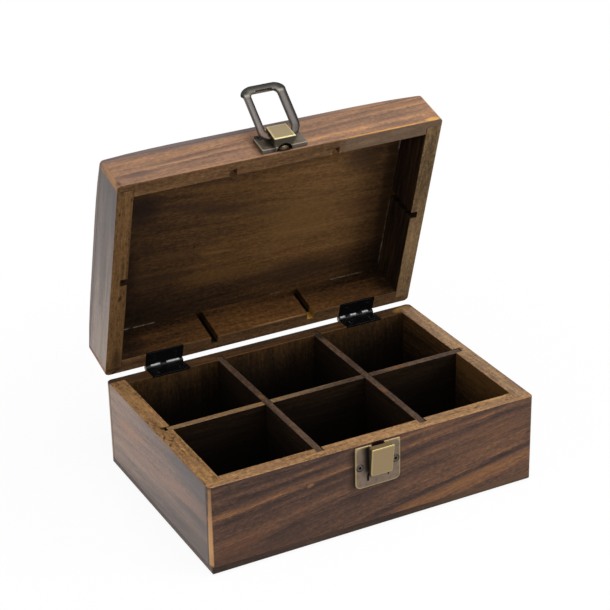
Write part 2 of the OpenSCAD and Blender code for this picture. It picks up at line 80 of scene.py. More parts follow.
# The bail, from its pivot
PIVOT_REACH, PIVOT_Z = 5.9, 71.8
BAIL_OPENING, BAIL_LEG, BAIL_THICKNESS = 19.3, 5.0, 2.8
BAIL_INNER, BAIL_BAR, BAIL_HEEL = 32.3, 5.5, 1.2
BAIL_CORNER, BAIL_INNER_CORNER, BAIL_HEEL_CORNER = 6.5, 2.6, 7.0
BAIL_PLAY = 0.6
# How square the bail's back is; its front is rounder
BACK_POWER = 6.0
RIGHT_LEG_GROWTH, RIGHT_LEG_INSET = 0.28, 0.7
BAR_FLARE_LEFT, BAR_FLARE_RIGHT = 1.6, 0.3
BAIL_FOOT_HALF, BAIL_FOOT_HEIGHT = 8.0, 2.5
BAR_RECESS, BAR_RECESS_DEPTH = 12.0, 1.3
PIVOT_RADIUS, PIVOT_DEPTH = 1.1, 2.4

# The hinges
HINGE_X, HINGE_Y, HINGE_Z = 72.8, 80.2, 62.55
HINGE_SCREW_Y, HINGE_SCREW_SPREAD = 72.75, 7.8
# Where the knuckles carry painted highlights: white streaks along their tops
PAINTED_GLINTS = ((-82.5, -76), (-71, -62), (60.5, 64.5), (68.5, 73), (78, 82.5))

# The radii of rounded edges: a wall's rim, its other edges, the bottom board, dividers and leaves
RIM_OUTER_EDGE, RIM_INNER_EDGE, RIM_HINGE_EDGE = 0.7, 0.5, 0.25
BOARD_EDGE, JOINT_EDGE, DIVIDER_EDGE = 0.22, 0.14, 0.35
BOTTOM_CORNER, BOTTOM_FOOT_EDGE = 3.2, 1.3
LEAF_CORNER, LEAF_EDGE = 2.4, 0.18

LID_OPENING, BAIL_TILT = math.radians(73.5), math.radians(25.5)


def turned_about(point, angle):
    """A turn about a line along X through a point, in millimetres."""
    place = Matrix.Translation(Vector(point))
    return place @ Matrix.Rotation(angle, 4, "X") @ place.inverted()


OPENED = turned_about((0, HINGE_Y, HINGE_Z), -LID_OPENING)
BAIL_PIVOT = (LATCH_X, -HALF_DEPTH - PIVOT_REACH, PIVOT_Z)
BAIL_PLACE = OPENED @ Matrix.Translation(BAIL_PIVOT) @ Matrix.Rotation(BAIL_TILT, 4, "X")
STILL = Matrix.Identity(4)


# ---- Colours and the shader's own small language


def paint(red, green, blue):
    """A screen colour, 0 to 255, as the linear colour that a shader takes."""
    linear = []
    for part in (red, green, blue):
        part /= 255
        linear.append(part / 12.92 if part <= 0.04045 else ((part + 0.055) / 1.055) ** 2.4)
    return (*linear, 1.0)


class Value:
    """A number that varies over a surface. Plain arithmetic on it adds the nodes that do it."""

    def __init__(self, finish, socket):
        self.finish, self.socket = finish, socket

    def with_number(self, operation, *others):
        inputs = {i: v for i, v in enumerate((self, *others))}
        return self.finish.node("ShaderNodeMath", {"operation": operation}, inputs)

    def __add__(self, other):
        return self.with_number("ADD", other)

    __radd__ = __add__

    def __sub__(self, other):
        return self.with_number("SUBTRACT", other)

    def __rsub__(self, other):
        return self.finish.node("ShaderNodeMath", {"operation": "SUBTRACT"}, {0: other, 1: self})

    def __mul__(self, other):
        return self.with_number("MULTIPLY", other)

    __rmul__ = __mul__

    def __abs__(self):
        return self.with_number("ABSOLUTE")

    def at_least(self, other):
        return self.with_number("MAXIMUM", other)

    def at_most(self, other):
        return self.with_number("MINIMUM", other)

    def rising(self, low, high):
        """0 below low, 1 above high and smooth between them."""
        return self.finish.node(
            "ShaderNodeMapRange",
            {"interpolation_type": "SMOOTHSTEP"},
            {"Value": self, "From Min": low, "From Max": high},
        )

    def between(self, low, high, soft):
        """1 between low and high, with soft ends."""
        return self.rising(low - soft, low + soft) * (1 - self.rising(high - soft, high + soft))

    def near(self, middle, half_width):
        """1 at the middle, falling to 0 at half_width from it."""
        share = (self - middle) * (1 / half_width)
        left = (1 - share * share).at_least(0)
        return left * left


class Finish:
    """One material and the means to add nodes to it."""

    def __init__(self, name, place=STILL):
        self.material = bpy.data.materials.new(name)
        self.material.use_nodes = True
        self.material.node_tree.nodes.clear()
        self.place = place

    def node(self, kind, settings=None, inputs=None, output=0):
        made = self.material.node_tree.nodes.new(kind)
        for key, value in (settings or {}).items():
            if key == "stops":
                ramp = made.color_ramp
                while len(ramp.elements) < len(value):
                    ramp.elements.new(0.5)
                for element, (position, colour) in zip(ramp.elements, value):
                    element.position, element.color = position, colour
            else:
                setattr(made, key, value)
        for key, value in (inputs or {}).items():
            if isinstance(value, Value):
                self.material.node_tree.links.new(value.socket, made.inputs[key])
            else:
                made.inputs[key].default_value = value
        return Value(self, made.outputs[output]) if made.outputs else None

    def point(self):
        """x, y and z in millimetres, on the piece as it lies before its lid or bail is turned."""
        back = self.place.inverted()
        seen = self.node("ShaderNodeTexCoord", output=3)
        laid = self.node(
            "ShaderNodeMapping",
            {"vector_type": "POINT"},
            {"Vector": seen, "Location": back.to_translation() * MM, "Rotation": back.to_euler()},
        )
        scaled = self.node("ShaderNodeVectorMath", {"operation": "SCALE"}, {0: laid, "Scale": 1 / MM})
        split = self.node("ShaderNodeSeparateXYZ", inputs={0: scaled})
        outputs = split.socket.node.outputs
        return [Value(self, outputs[i]) for i in range(3)]

    def vector(self, x, y, z):
        return self.node("ShaderNodeCombineXYZ", inputs={0: x, 1: y, 2: z})

    def noise(self, x, y, z, detail=2.0, roughness=0.5):
        """Soft noise about 0, from -0.5 to 0.5. The coordinates already have their scale."""
        made = self.node(
            "ShaderNodeTexNoise",
            {"noise_dimensions": "3D"},
            {"Vector": self.vector(x, y, z), "Scale": 1.0, "Detail": detail, "Roughness": roughness},
        )
        return made - 0.5

    def ramp(self, share, stops):
        return self.node("ShaderNodeValToRGB", {"stops": stops}, {0: share})

    def mix(self, share, first, second):
        """Colour: first where share is 0 and second where it is 1."""
        return self.node(
            "ShaderNodeMix",
            {"data_type": "RGBA", "clamp_factor": True},
            {0: share, 6: first, 7: second},
            output=2,
        )

    def bump(self, height, strength, distance):
        inputs = {"Height": height, "Strength": strength, "Distance": distance * MM}
        return self.node("ShaderNodeBump", inputs=inputs)

    def surface(self, **inputs):
        """The shader itself, and the end of the material."""
        named = {key.replace("_", " "): value for key, value in inputs.items()}
        if "Specular" in named:
            named["Specular IOR Level"] = named.pop("Specular")
        shader = self.node("ShaderNodeBsdfPrincipled", inputs=named)
        self.node("ShaderNodeOutputMaterial", inputs={0: shader})
        return self.material


# ---- Wood


# How softly a streak of the wood ends, to either side of its end
BAND_FADE = 12


def wood(
    name,
    place=STILL,
    along="x",
    across="z",
    seed=0.0,
    tones=(),
    amounts=(0.6, 0.8, 0.9, 0.5),
    mottle=0.0,
    lift=None,
    slope=None,
    bands=(),
    marks=(),
    spots=(),
    roughness=0.5,
    specular=0.12,
    relief=0.12,
):
    """Stained wood. The tone runs from 0, dark, to 1, light, in streaks along the grain.

    amounts is how much the broad, middle, fine and shortest streaks change the tone,
    and mottle how much a cloudy pattern without a direction does.
    lift is a function of the finish and the point that gives what is added to the tone.
    slope is (level, rise, level, rise): how much the streaks climb along the board at two levels.
    A band is (level, half width, from, to, tone): one streak of the real board, where it lies.
    A mark is (function of the finish and the point that gives a mask, colour).
    A spot is (along, across, half length, half width, tilt, colour, strength): one soft stain.
    """
    finish = Finish(name, place)
    x, y, z = finish.point()
    axes = {"x": x, "y": y, "z": z}
    u, v = axes[along], axes[across]
    w = axes[({"x", "y", "z"} - {along, across}).pop()]
    level = v
    if slope:
        low, low_rise, high, high_rise = slope
        rough_level = v - (u + HALF_LENGTH) * ((low_rise + high_rise) / 2)
        rise = finish.node(
            "ShaderNodeMapRange",
            {"clamp": True},
            {
                "Value": rough_level, "From Min": low, "From Max": high,
                "To Min": low_rise, "To Max": high_rise,
            },
        )
        level = v - (u + HALF_LENGTH) * rise
    sway = finish.noise(u * 0.018, level * 0.05, w * 0.05 + seed, 1.0)
    level = level + sway * 3.5
    broad = finish.noise(u * 0.012, level * 0.14, w * 0.02 + (seed + 3), 2.0)
    middle = finish.noise(u * 0.03, level * 0.5, w * 0.04 + (seed + 11), 2.0, 0.6)
    fine = finish.noise(u * 0.07, level * 1.9, w * 1.1 + (seed + 19), 3.0, 0.7)
    fleck = finish.noise(u * 0.35, level * 1.3, w * 0.9 + (seed + 31), 3.0, 0.65)
    tone = broad * amounts[0] + middle * amounts[1] + fine * amounts[2] + fleck * amounts[3] + 0.5
    if mottle:
        tone = tone + finish.noise(u * 0.3, v * 0.45, w * 0.4 + (seed + 43), 4.0, 0.72) * mottle
    if lift:
        tone = tone + lift(finish, x, y, z)
    if bands:
        ragged = level + middle * 5 + fine * 3 + fleck * 2
        clouds = finish.noise(u * 0.045, level * 0.1, w * 0.02 + (seed + 57), 2.0)
        patchy = (clouds * 2.2 + 0.9).at_least(0.15)
        streaks = None
        for centre, half, start, stop, strength in bands:
            reach = ragged.near(centre, half)
            if start > -HALF_LENGTH:
                reach = reach * u.rising(start - BAND_FADE, start + BAND_FADE)
            if stop < HALF_LENGTH:
                reach = reach * (1 - u.rising(stop - BAND_FADE, stop + BAND_FADE))
            streaks = reach * strength + (0 if streaks is None else streaks)
        tone = tone + streaks * patchy
    colour = finish.ramp(tone, spread(*tones))
    for mask, shade in marks:
        colour = finish.mix(mask(finish, x, y, z, fine), colour, shade)
    rag = fine * 0.8 + fleck * 1.0
    for at_u, at_v, half_u, half_v, tilt, shade, strength in spots:
        a = (u - at_u) * (1 / half_u)
        b = (v - at_v - (u - at_u) * tilt if tilt else v - at_v) * (1 / half_v)
        inside = (1 + rag - a * a - b * b).at_least(0).at_most(1)
        colour = finish.mix(inside * strength, colour, stained(*shade))
    height = fine * 0.7 + fleck * 0.4 + middle * 0.3
    return finish.surface(
        Base_Color=colour,
        Roughness=(roughness + fine * 0.12 - broad * 0.08),
        Specular=specular,
        Normal=finish.bump(height, relief, 0.6),
    )


# The stain's warmth, as shares of the red, green and blue named for the wood below
WARMTH = (1.0, 0.972, 0.94)


def stained(*colour):
    """A wood's colour with the stain's warmth."""
    return paint(*(part * share for part, share in zip(colour, WARMTH)))


def spread(*colours):
    """Ramp stops, closest together about the middle tone, where most of the wood lies."""
    middle = (len(colours) - 1) / 2
    stops = []
    for i, colour in enumerate(colours):
        away = (i - middle) / middle
        place = 0.5 + 0.42 * math.copysign(abs(away) ** 1.3, away)
        stops.append((place, stained(*colour)))
    return stops


# The colours of the faces, from the darkest streaks to the lightest
FRONT_TONES = [(44, 34, 31), (66, 50, 44), (86, 63, 51), (108, 78, 57), (146, 104, 64)]
# The ends' greyer tones and the lid front's lighter ones hold painted sheen over the wood's own tone
END_TONES = [(82, 70, 66), (105, 87, 80), (123, 102, 93), (140, 118, 106), (162, 138, 122)]
LID_FRONT_TONES = [(90, 72, 65), (117, 92, 77), (140, 109, 87), (157, 121, 93), (192, 142, 95)]
LID_END_TONES = [(74, 67, 66), (94, 84, 80), (112, 100, 94), (132, 119, 112), (156, 142, 134)]
RIM_TONES = [(74, 54, 38), (112, 86, 60), (141, 109, 76), (160, 126, 88), (192, 156, 112)]
SIDE_RIM_TONES = [(56, 40, 27), (98, 73, 48), (128, 98, 64), (146, 113, 75), (176, 138, 95)]
RIGHT_RIM_TONES = [(66, 52, 40), (108, 86, 64), (136, 110, 84), (152, 125, 97), (180, 148, 110)]
# The back rim's tones are painted shade, where the open lid shades it
SHADED_BACK_RIM_TONES = [(27, 16, 8), (42, 27, 12), (56, 36, 16), (72, 48, 22), (106, 70, 29)]
# Near black for the walls and dividers inside the compartments: painted shade
SHADED_INSIDE_TONES = [(8, 5, 3), (20, 13, 7), (34, 23, 12), (52, 36, 18), (80, 56, 29)]
LID_RIM_TONES = [(44, 30, 17), (69, 49, 29), (87, 63, 39), (101, 75, 49), (130, 101, 70)]
LID_SIDE_RIM_TONES = [(36, 25, 14), (70, 50, 29), (92, 67, 39), (106, 80, 50), (128, 100, 66)]
LID_RIGHT_RIM_TONES = [(46, 34, 21), (83, 66, 43), (108, 87, 59), (121, 99, 70), (146, 122, 88)]
LID_WALL_TONES = [(12, 7, 4), (40, 26, 13), (64, 43, 22), (86, 58, 29), (118, 84, 46)]
LID_SIDE_WALL_TONES = [(6, 4, 3), (18, 11, 8), (32, 21, 13), (48, 32, 18), (72, 50, 28)]
PANEL_TONES = [(26, 18, 12), (50, 35, 22), (72, 51, 30), (92, 66, 38), (120, 90, 54)]
LONG_DIVIDER_TONES = [(48, 38, 30), (70, 56, 45), (88, 72, 57), (104, 86, 67), (136, 104, 68)]
CROSS_DIVIDER_TONES = [(40, 31, 25), (56, 44, 35), (72, 57, 46), (86, 70, 57), (118, 84, 52)]
BOTTOM_TONES = [(34, 26, 22), (46, 36, 31), (56, 44, 38), (66, 52, 44), (80, 62, 50)]

PALE_GLUE = (140, 130, 110)


def at_corner(side, start, stop, width=1.5, front=73.0):
    """Worn wood at an upright corner: side is -1 for the left."""

    def mask(finish, x, y, z, fine):
        end = (x * side).rising(HALF_LENGTH - width, HALF_LENGTH - width + 0.9)
        return end * z.between(start, stop, 1.6) * abs(y).rising(front, front + 1.2) * (0.8 + fine)

    return mask


def worn_corner(low, high, width, front):
    """The left front corner, rubbed wider and brighter toward its foot."""

    def mask(finish, x, y, z, fine):
        bare = 1 - z.rising(low + (high - low) * 0.2, high)
        end = (0 - x).rising(HALF_LENGTH - width, HALF_LENGTH - width + 0.9)
        start = 1.9 * (1 - bare) + front
        edge = end * z.between(low, high, 1.6) * (0 - y - start).rising(0, 1.2)
        return edge * (bare * 0.5 + 0.5) * (0.8 + fine * 1.4)

    return mask


def near_height(middle, half, strength):
    """A level streak at a height."""

    def mask(finish, x, y, z, fine):
        return z.near(middle, half) * strength * (0.8 + fine * 2)

    return mask


def seam_shade(height):
    """The dark line where a wall board stands on the bottom board, fainter to the right."""

    def mask(finish, x, y, z, fine):
        return (1 - z.rising(height - 0.3, height + 0.2)) * 0.85 * (1 - x.rising(0, 90) * 0.8)

    return mask


def beside_plate(low, high, reach, strength):
    """The shade of a metal plate on the wood to the left of it."""

    def mask(finish, x, y, z, fine):
        away = LATCH_X - PLATE_HALF_WIDTH - x
        beside = away.rising(-1, 0) * (1 - away.rising(0, reach))
        on_front = (0 - y).rising(HALF_DEPTH - 1, HALF_DEPTH - 0.5)
        return beside * z.between(low, high, 2.5) * strength * on_front

    return mask


def joint_line(side):
    """The dark line between the front board's end and the side board, on the box's end."""

    def mask(finish, x, y, z, fine):
        end = (x * side).rising(HALF_LENGTH - 0.6, HALF_LENGTH - 0.2)
        return end * abs(y).between(HALF_DEPTH - LIP - 0.4, HALF_DEPTH - LIP + 1.2, 0.3) * 0.7

    return mask


# Streaks of the real boards' fronts, where they lie
FRONT_BANDS = [
    (57.6, 2.2, -60, 115, 0.12),
    (54.6, 3.4, -115, -20, -0.2),
    (50.8, 2.0, -115, -40, 0.12),
    (46.4, 3.0, -115, 0, -0.2),
    (39.8, 3.2, -115, 0, 0.22),
    (34.5, 3.4, -108, 0, -0.16),
    (26.5, 4.5, -100, -20, -0.08),
    (19.0, 4.0, -115, 5, 0.14),
    (8.5, 5.2, -80, 60, -0.16),
    (47.4, 2.8, 5, 115, 0.2),
    (42.4, 2.8, 5, 115, -0.2),
    (37.6, 2.4, 5, 115, 0.18),
    (30.5, 5.2, 5, 115, -0.22),
    (22.0, 3.4, 10, 80, 0.14),
    (15.0, 4.0, 20, 115, -0.1),
    (-6.2, 1.8, 55, 115, 0.08),
    (-10.5, 2.6, -5, 115, -0.3),
    (-18.0, 7.0, -5, 115, 0.16),
]
LID_FRONT_BANDS = [
    (86.5, 3.0, -110, 60, -0.16),
    (79.6, 1.8, -100, 0, 0.12),
    (76.4, 1.8, -100, 0, -0.16),
    (73.2, 1.8, -110, 0, 0.16),
    (70.3, 2.2, -110, -5, -0.2),
    (77.5, 2.0, 10, 115, -0.14),
    (73.6, 1.6, 10, 115, 0.18),
    (70.6, 1.8, 5, 115, -0.12),
    (62.5, 2.6, 15, 115, 0.3),
]


def front_stain():
    def by_place(finish, x, y, z):
        return -0.1 * z.near(BASE_RIM, 3.0) + 0.09 * x.rising(-40, 60) - 0.08

    return wood(
        "front_stain", seed=1.0,
        tones=FRONT_TONES, amounts=(0.3, 0.5, 0.5, 0.75), mottle=0.3, lift=by_place,
        slope=(14.0, 0.17, 56.0, 0.05), bands=FRONT_BANDS,
        marks=[
            (worn_corner(7.0, 61.0, 1.9, 73.8), paint(204, 156, 108)),
            (at_corner(1, 7, 61, 1.2, 76.4), paint(140, 106, 72)),
            (joint_line(-1), paint(88, 76, 70)),
            (beside_plate(32, 60, 6.0, 0.8), paint(34, 21, 13)),
            (seam_shade(BOTTOM), paint(52, 41, 37)),
        ],
        spots=[
            # Painted shade: near black on the wood seen through the catch's slot
            (LATCH_X, 57.5, 6.4, 5.6, 0, (22, 9, 7), 2.2),
            (112.5, 37, 3.0, 1.2, 0.2, (40, 30, 28), 0.8),
            (-47, 44, 3.0, 1.6, 0.2, (158, 112, 74), 0.5),
            (70, 14, 46, 6.0, 0.12, (128, 88, 52), 0.28),
            (30, 8.8, 26, 3.4, 0.05, (126, 84, 48), 0.3),
            (-96, 16, 22, 9, 0.25, (88, 59, 44), 0.5),
            (-62, 9, 40, 4, 0.0, (62, 46, 38), 0.4),
            (92, 44, 24, 4, 0.1, (116, 82, 56), 0.35),
        ],
        roughness=0.5,
    )


def back_stain():
    return wood(
        "back_stain", seed=2.0,
        tones=FRONT_TONES, amounts=(0.9, 0.7, 0.6, 0.7), mottle=0.3,
        slope=(14.0, -0.08, 56.0, -0.05),
        marks=[
            *((at_corner(side, 7, 60.5, 1.9), paint(158, 138, 118)) for side in (-1, 1)),
            (seam_shade(BOTTOM), paint(52, 41, 37)),
        ],
        roughness=0.5,
    )


def end_stain():
    # Lighter toward the back and the top, which is painted sheen; darker at the foot and toward the front
    def by_place(finish, x, y, z):
        front_foot = 0.25 * (1 - z.rising(5, 20))
        return y * 0.0034 - 0.06 + (z - 30) * 0.001 - front_foot - 0.1 * (1 - y.rising(-70, -20))

    return wood(
        "end_stain", along="y",
        seed=4.0, tones=END_TONES, amounts=(0.8, 0.6, 0.5, 0.6), mottle=0.5, lift=by_place,
        slope=(14.0, -0.06, 56.0, -0.08),
        # The greyest spots are painted sheen over the wood's tone
        spots=[
            (-50, 54, 44, 7.0, 0.0, (88, 84, 88), 0.65),
            (20, 56, 34, 4, 0.0, (120, 110, 112), 0.35),
            (40, 42, 26, 7, -0.1, (160, 122, 98), 0.6),
            (-40, 38, 46, 6, -0.03, (140, 108, 92), 0.55),
            (10, 31, 60, 4.0, -0.05, (152, 118, 98), 0.5),
            (48, 24, 22, 3.5, -0.08, (140, 114, 96), 0.35),
            (-30, 27, 44, 3.4, -0.05, (102, 86, 82), 0.4),
            (0, 18, 46, 4, 0, (96, 85, 84), 0.4),
            (-58, 20, 22, 10, 0, (104, 84, 74), 0.4),
            (62, 16, 24, 6, 0, (110, 96, 88), 0.4),
        ],
        roughness=0.42, specular=0.3,
    )


def rim_wood():
    return wood(
        "rim_wood", across="y",
        seed=8.0, tones=RIM_TONES, amounts=(0.5, 0.4, 0.5, 0.7), mottle=1.25,
        spots=[
            (-73, -74, 14, 4, 0, (112, 84, 68), 0.45),
            (46, -71, 20, 3, 0, (112, 88, 70), 0.45),
            (92, -76, 20, 3, 0.0, (116, 92, 78), 0.5),
            (-100, -76.5, 14, 2, 0, (108, 84, 68), 0.45),
            (-20, -69, 24, 2.4, 0, (172, 136, 92), 0.35),
            (90, -69.5, 12, 1.3, 0, (196, 162, 116), 0.5),
            (75, -73, 1.4, 0.7, 0, (70, 50, 34), 0.8),
            (83, -71, 1.2, 0.7, 0, (70, 50, 34), 0.8),
            (97, -74, 1.6, 0.6, 0, (70, 50, 34), 0.8),
            (102, -70, 1.2, 0.8, 0, (70, 50, 34), 0.8),
            (67, -75, 1.2, 0.6, 0, (70, 50, 34), 0.8),
            (-95, -75, 2.4, 0.6, 0.3, (80, 58, 38), 0.7),
        ],
        roughness=0.6, relief=0.3,
    )


def side_rim_wood():
    return wood(
        "side_rim_wood", along="y",
        across="x", seed=9.0, tones=SIDE_RIM_TONES, amounts=(0.5, 0.6, 0.6, 0.7), mottle=1.2,
        spots=[
            (-10, -113, 2.4, 1.0, 0.5, (26, 17, 10), 0.9),
            (-15, -111, 2.0, 1.2, -0.6, (36, 24, 15), 0.8),
            (-20, -113.4, 2.6, 0.9, 0.4, (26, 17, 10), 0.9),
            (-13, -108, 2.6, 1.0, 0.6, (60, 42, 26), 0.7),
            (13, -114, 3.0, 0.7, 0.2, (34, 22, 13), 0.8),
            (4, -114, 2.6, 0.6, 0, (40, 26, 16), 0.7),
            (1.2, -109.6, 2.6, 1.0, 0, (12, 8, 5), 1.0),
            (-47, -109, 5, 4, 0, (104, 76, 62), 0.5),
            (18, -107, 8, 4, 0, (110, 80, 64), 0.45),
            (48, -110, 14, 3, 0, (156, 124, 84), 0.4),
            (-68, -106.5, 3, 2, 0, (60, 42, 26), 0.6),
        ],
        roughness=0.6, relief=0.3,
    )


def right_rim_wood():
    return wood(
        "right_rim_wood", along="y",
        across="x", seed=39.0, tones=RIGHT_RIM_TONES, amounts=(0.6, 0.5, 0.5, 0.6), mottle=1.1,
        spots=[
            (-58, 113, 12, 3.5, 0, (112, 88, 80), 0.6),
            (-26, 110, 6, 3, 0, (108, 86, 74), 0.5),
            (-45, 106, 6, 2, 0, (84, 64, 50), 0.5),
            (30, 107, 10, 3, 0, (110, 88, 76), 0.5),
            (56, 108, 8, 3, 0, (118, 94, 76), 0.4),
            (5, 112, 18, 3, 0, (164, 134, 98), 0.4),
            (-66, 106, 5, 1.6, 0, (72, 56, 46), 0.5),
            (1, 109.5, 2.6, 1.6, 0, (52, 38, 26), 0.8),
        ],
        roughness=0.6, relief=0.3,
    )


# The back rim's wood, darkened with painted shade from the open lid
def back_rim_wood():
    return wood(
        "back_rim_wood", across="y",
        seed=10.0, tones=SHADED_BACK_RIM_TONES, amounts=(0.6, 0.6, 0.5, 0.6), mottle=0.8,
        spots=[
            (-46, 72, 14, 3, -0.1, (96, 64, 28), 0.55),
            (20, 75, 16, 1.6, 0, (92, 62, 28), 0.45),
            (52, 73, 12, 1.8, 0.05, (104, 70, 30), 0.5),
            (-97, 72, 12, 4, 0, (44, 29, 14), 0.6),
            (106, 73, 9, 4, 0.2, (160, 122, 56), 0.8),
            (-109.5, 69, 3, 1, 0, (170, 140, 96), 0.6),
            (0, 67.9, 104, 0.7, 0, (112, 76, 38), 0.5),
            (36.4, 68, 3.4, 2.2, 0, (20, 14, 9), 0.8),
            (-72.8, 67.8, 14.6, 0.7, 0, (142, 108, 68), 0.8),
            (72.8, 67.8, 14.6, 0.7, 0, (142, 108, 68), 0.6),
        ],
        roughness=0.6,
    )


def inside_stain():
    # Painted shade: near black, and darker toward the bottom of the compartments
    def by_place(finish, x, y, z):
        return (z - 50) * 0.016

    return wood(
        "inside_stain", along="z",
        across="x", seed=12.0, tones=SHADED_INSIDE_TONES, amounts=(0.3, 0.35, 0.25, 0.35), mottle=0.7,
        lift=by_place,
        spots=[
            (62.2, -72.8, 0.9, 14.4, 0, (130, 98, 60), 0.8),
            (62.2, 72.8, 0.9, 14.4, 0, (120, 90, 56), 0.6),
        ],
        roughness=0.8, specular=0.06,
    )


def side_inside_stain():
    # Painted shade, darker toward the bottom; the right wall's inside is painted lighter toward the front,
    # where less shade falls
    def by_place(finish, x, y, z):
        return (z - 50) * 0.012 + x.rising(0, 50) * (0.32 - y.rising(-40, 40) * 0.2)

    return wood(
        "side_inside_stain", along="y",
        seed=13.0, tones=SHADED_INSIDE_TONES, amounts=(0.4, 0.5, 0.4, 0.4), mottle=0.5, lift=by_place,
        roughness=0.8, specular=0.06,
    )


def lid_front_stain():
    def by_place(finish, x, y, z):
        return -0.05 - 0.05 * x.rising(-10, 30) + 0.1 * x.rising(80, 112)

    # Painted sheen: the grey-blue band along the crown edge, fading to the right
    def painted_sheen_edge(finish, x, y, z, fine):
        return (z - abs(x) * -0.01).rising(86.5, 90.5) * (1 - x.rising(-40, 50)) * (0.7 + fine)

    return wood(
        "lid_front_stain", OPENED,
        seed=15.0, tones=LID_FRONT_TONES, amounts=(0.4, 0.5, 0.5, 0.75), mottle=0.45, lift=by_place,
        slope=(62.0, 0.045, 90.0, 0.045), bands=LID_FRONT_BANDS,
        marks=[
            (painted_sheen_edge, paint(92, 84, 86)),
            (worn_corner(64, 90, 1.9, 74.4), paint(160, 120, 84)),
            (at_corner(1, 64, 90, 2.0, 76.6), paint(182, 138, 84)),
            (beside_plate(63, 80, 4.5, 0.55), paint(70, 46, 30)),
        ],
        spots=[
            (-98, 70.5, 16, 3.0, 0.02, (84, 70, 70), 0.7),
            (-70, 76.5, 30, 1.2, 0.04, (98, 80, 76), 0.5),
            (-60, 80, 34, 1.0, 0.04, (166, 124, 90), 0.4),
            (75, 63.4, 42, 1.1, 0.0, (206, 152, 84), 0.8),
            (108, 64.5, 6, 2.4, 0, (220, 170, 84), 0.7),
            (90, 86, 24, 2.2, -0.05, (150, 112, 78), 0.5),
            (40, 78, 26, 1.4, 0.04, (104, 82, 74), 0.5),
            (-113, 66, 2.0, 3.0, 0, (60, 44, 38), 0.7),
            # Painted shade: near black on the wood seen through the latch's arch
            (LATCH_X, 66, 8, 3.5, 0, (10, 8, 6), 1.3),
        ],
        roughness=0.46,
    )


def lid_back_stain():
    return wood(
        "lid_back_stain", OPENED,
        seed=16.0, tones=LID_FRONT_TONES, amounts=(0.7, 0.6, 0.5, 0.6), mottle=0.45,
        slope=(62.0, 0.03, 90.0, -0.02),
        marks=[(at_corner(side, 64, 89, 1.2, 76.6), paint(150, 112, 78)) for side in (-1, 1)],
        roughness=0.46,
    )


def lid_end_stain():
    def by_place(finish, x, y, z):
        return y * 0.0045 - 0.04

    return wood(
        "lid_end_stain", OPENED,
        along="y", seed=17.0, tones=LID_END_TONES, amounts=(0.6, 0.6, 0.5, 0.5), mottle=0.25,
        lift=by_place, marks=[(near_height(LID_RIM, 1.0, 0.4), paint(140, 112, 84))],
        # The greyer spots are painted sheen over the wood's tone
        spots=[
            (-50, 72, 20, 6, 0, (96, 92, 96), 0.5),
            (-10, 84, 24, 5, 0, (104, 96, 98), 0.45),
            (50, 78, 24, 7, 0, (160, 146, 138), 0.4),
            (-20, 68, 24, 3, 0.05, (128, 112, 104), 0.4),
        ],
        roughness=0.42, specular=0.3,
    )


def lid_top_stain():
    def ends(finish, x, y, z, fine):
        return abs(x).rising(HALF_LENGTH - 1.4, HALF_LENGTH - 0.5)

    # Painted sheen: the grey-blue band along the top board's front edge, fading to the right
    def sheen_front_edge(finish, x, y, z, fine):
        return (0 - y).rising(HALF_DEPTH - 2.5, HALF_DEPTH - 1) * (1 - x.rising(-10, 80) * 0.8) * 0.85

    return wood(
        "lid_top_stain", OPENED,
        across="y", seed=21.0, tones=LID_FRONT_TONES, amounts=(0.9, 0.8, 0.8, 0.4),
        marks=[(sheen_front_edge, paint(94, 86, 88)), (ends, paint(116, 103, 98))], roughness=0.46,
    )


def lid_rim_wood():
    def front_patch(finish, x, y, z, fine):
        return x.rising(36, 46) * (0 - y).rising(60, 62) * 0.4

    return wood(
        "lid_rim_wood", OPENED,
        across="y", seed=24.0, tones=LID_RIM_TONES, amounts=(0.5, 0.4, 0.5, 0.7), mottle=0.9,
        marks=[(front_patch, paint(112, 96, 82))],
        spots=[
            (36.6, -68.6, 1.8, 1.8, 0, (30, 20, 13), 0.9),
            (39.6, -68.4, 1.2, 1.0, 0, (150, 118, 80), 0.6),
            (33.4, -68.4, 1.2, 1.0, 0, (150, 118, 80), 0.6),
            (-36.4, -68.6, 3.0, 1.6, 0, (56, 38, 24), 0.6),
            (-104.4, -70.4, 0.7, 3.4, 0, (24, 16, 10), 0.9),
            (-109.4, -73.2, 5.4, 0.5, 0, (24, 16, 10), 0.9),
            (60, -72, 10, 3, 0, (122, 102, 84), 0.4),
            (84, -75, 12, 2, 0, (124, 104, 86), 0.4),
            (-109, 72, 8, 5, 0, (34, 23, 14), 0.7),
            (0, 68, 60, 0.7, 0, (124, 96, 62), 0.45),
            (-60, 72, 30, 5, 0, (64, 43, 22), 0.4),
        ],
        roughness=0.65, relief=0.3,
    )


def lid_side_rim_wood():
    return wood(
        "lid_side_rim_wood", OPENED,
        along="y", across="x", seed=25.0, tones=LID_SIDE_RIM_TONES, amounts=(0.5, 0.6, 0.5, 0.6),
        mottle=0.7,
        spots=[
            (13, -108.5, 3.5, 1.4, -0.2, (26, 17, 10), 0.9),
            (66, -108, 12, 4, 0, (36, 25, 15), 0.7),
            (-56, -112.5, 1.6, 1.0, 0, (30, 20, 12), 0.8),
            (-66, -105, 2.0, 1.0, 0, (30, 20, 12), 0.6),
        ],
        roughness=0.65, relief=0.3,
    )


def lid_right_rim_wood():
    return wood(
        "lid_right_rim_wood", OPENED,
        along="y", across="x", seed=55.0, tones=LID_RIGHT_RIM_TONES, amounts=(0.5, 0.5, 0.5, 0.6),
        mottle=0.9, lift=lambda finish, x, y, z: y.near(-30, 50) * -0.12 + y.near(30, 30) * 0.1,
        roughness=0.65, relief=0.3,
    )


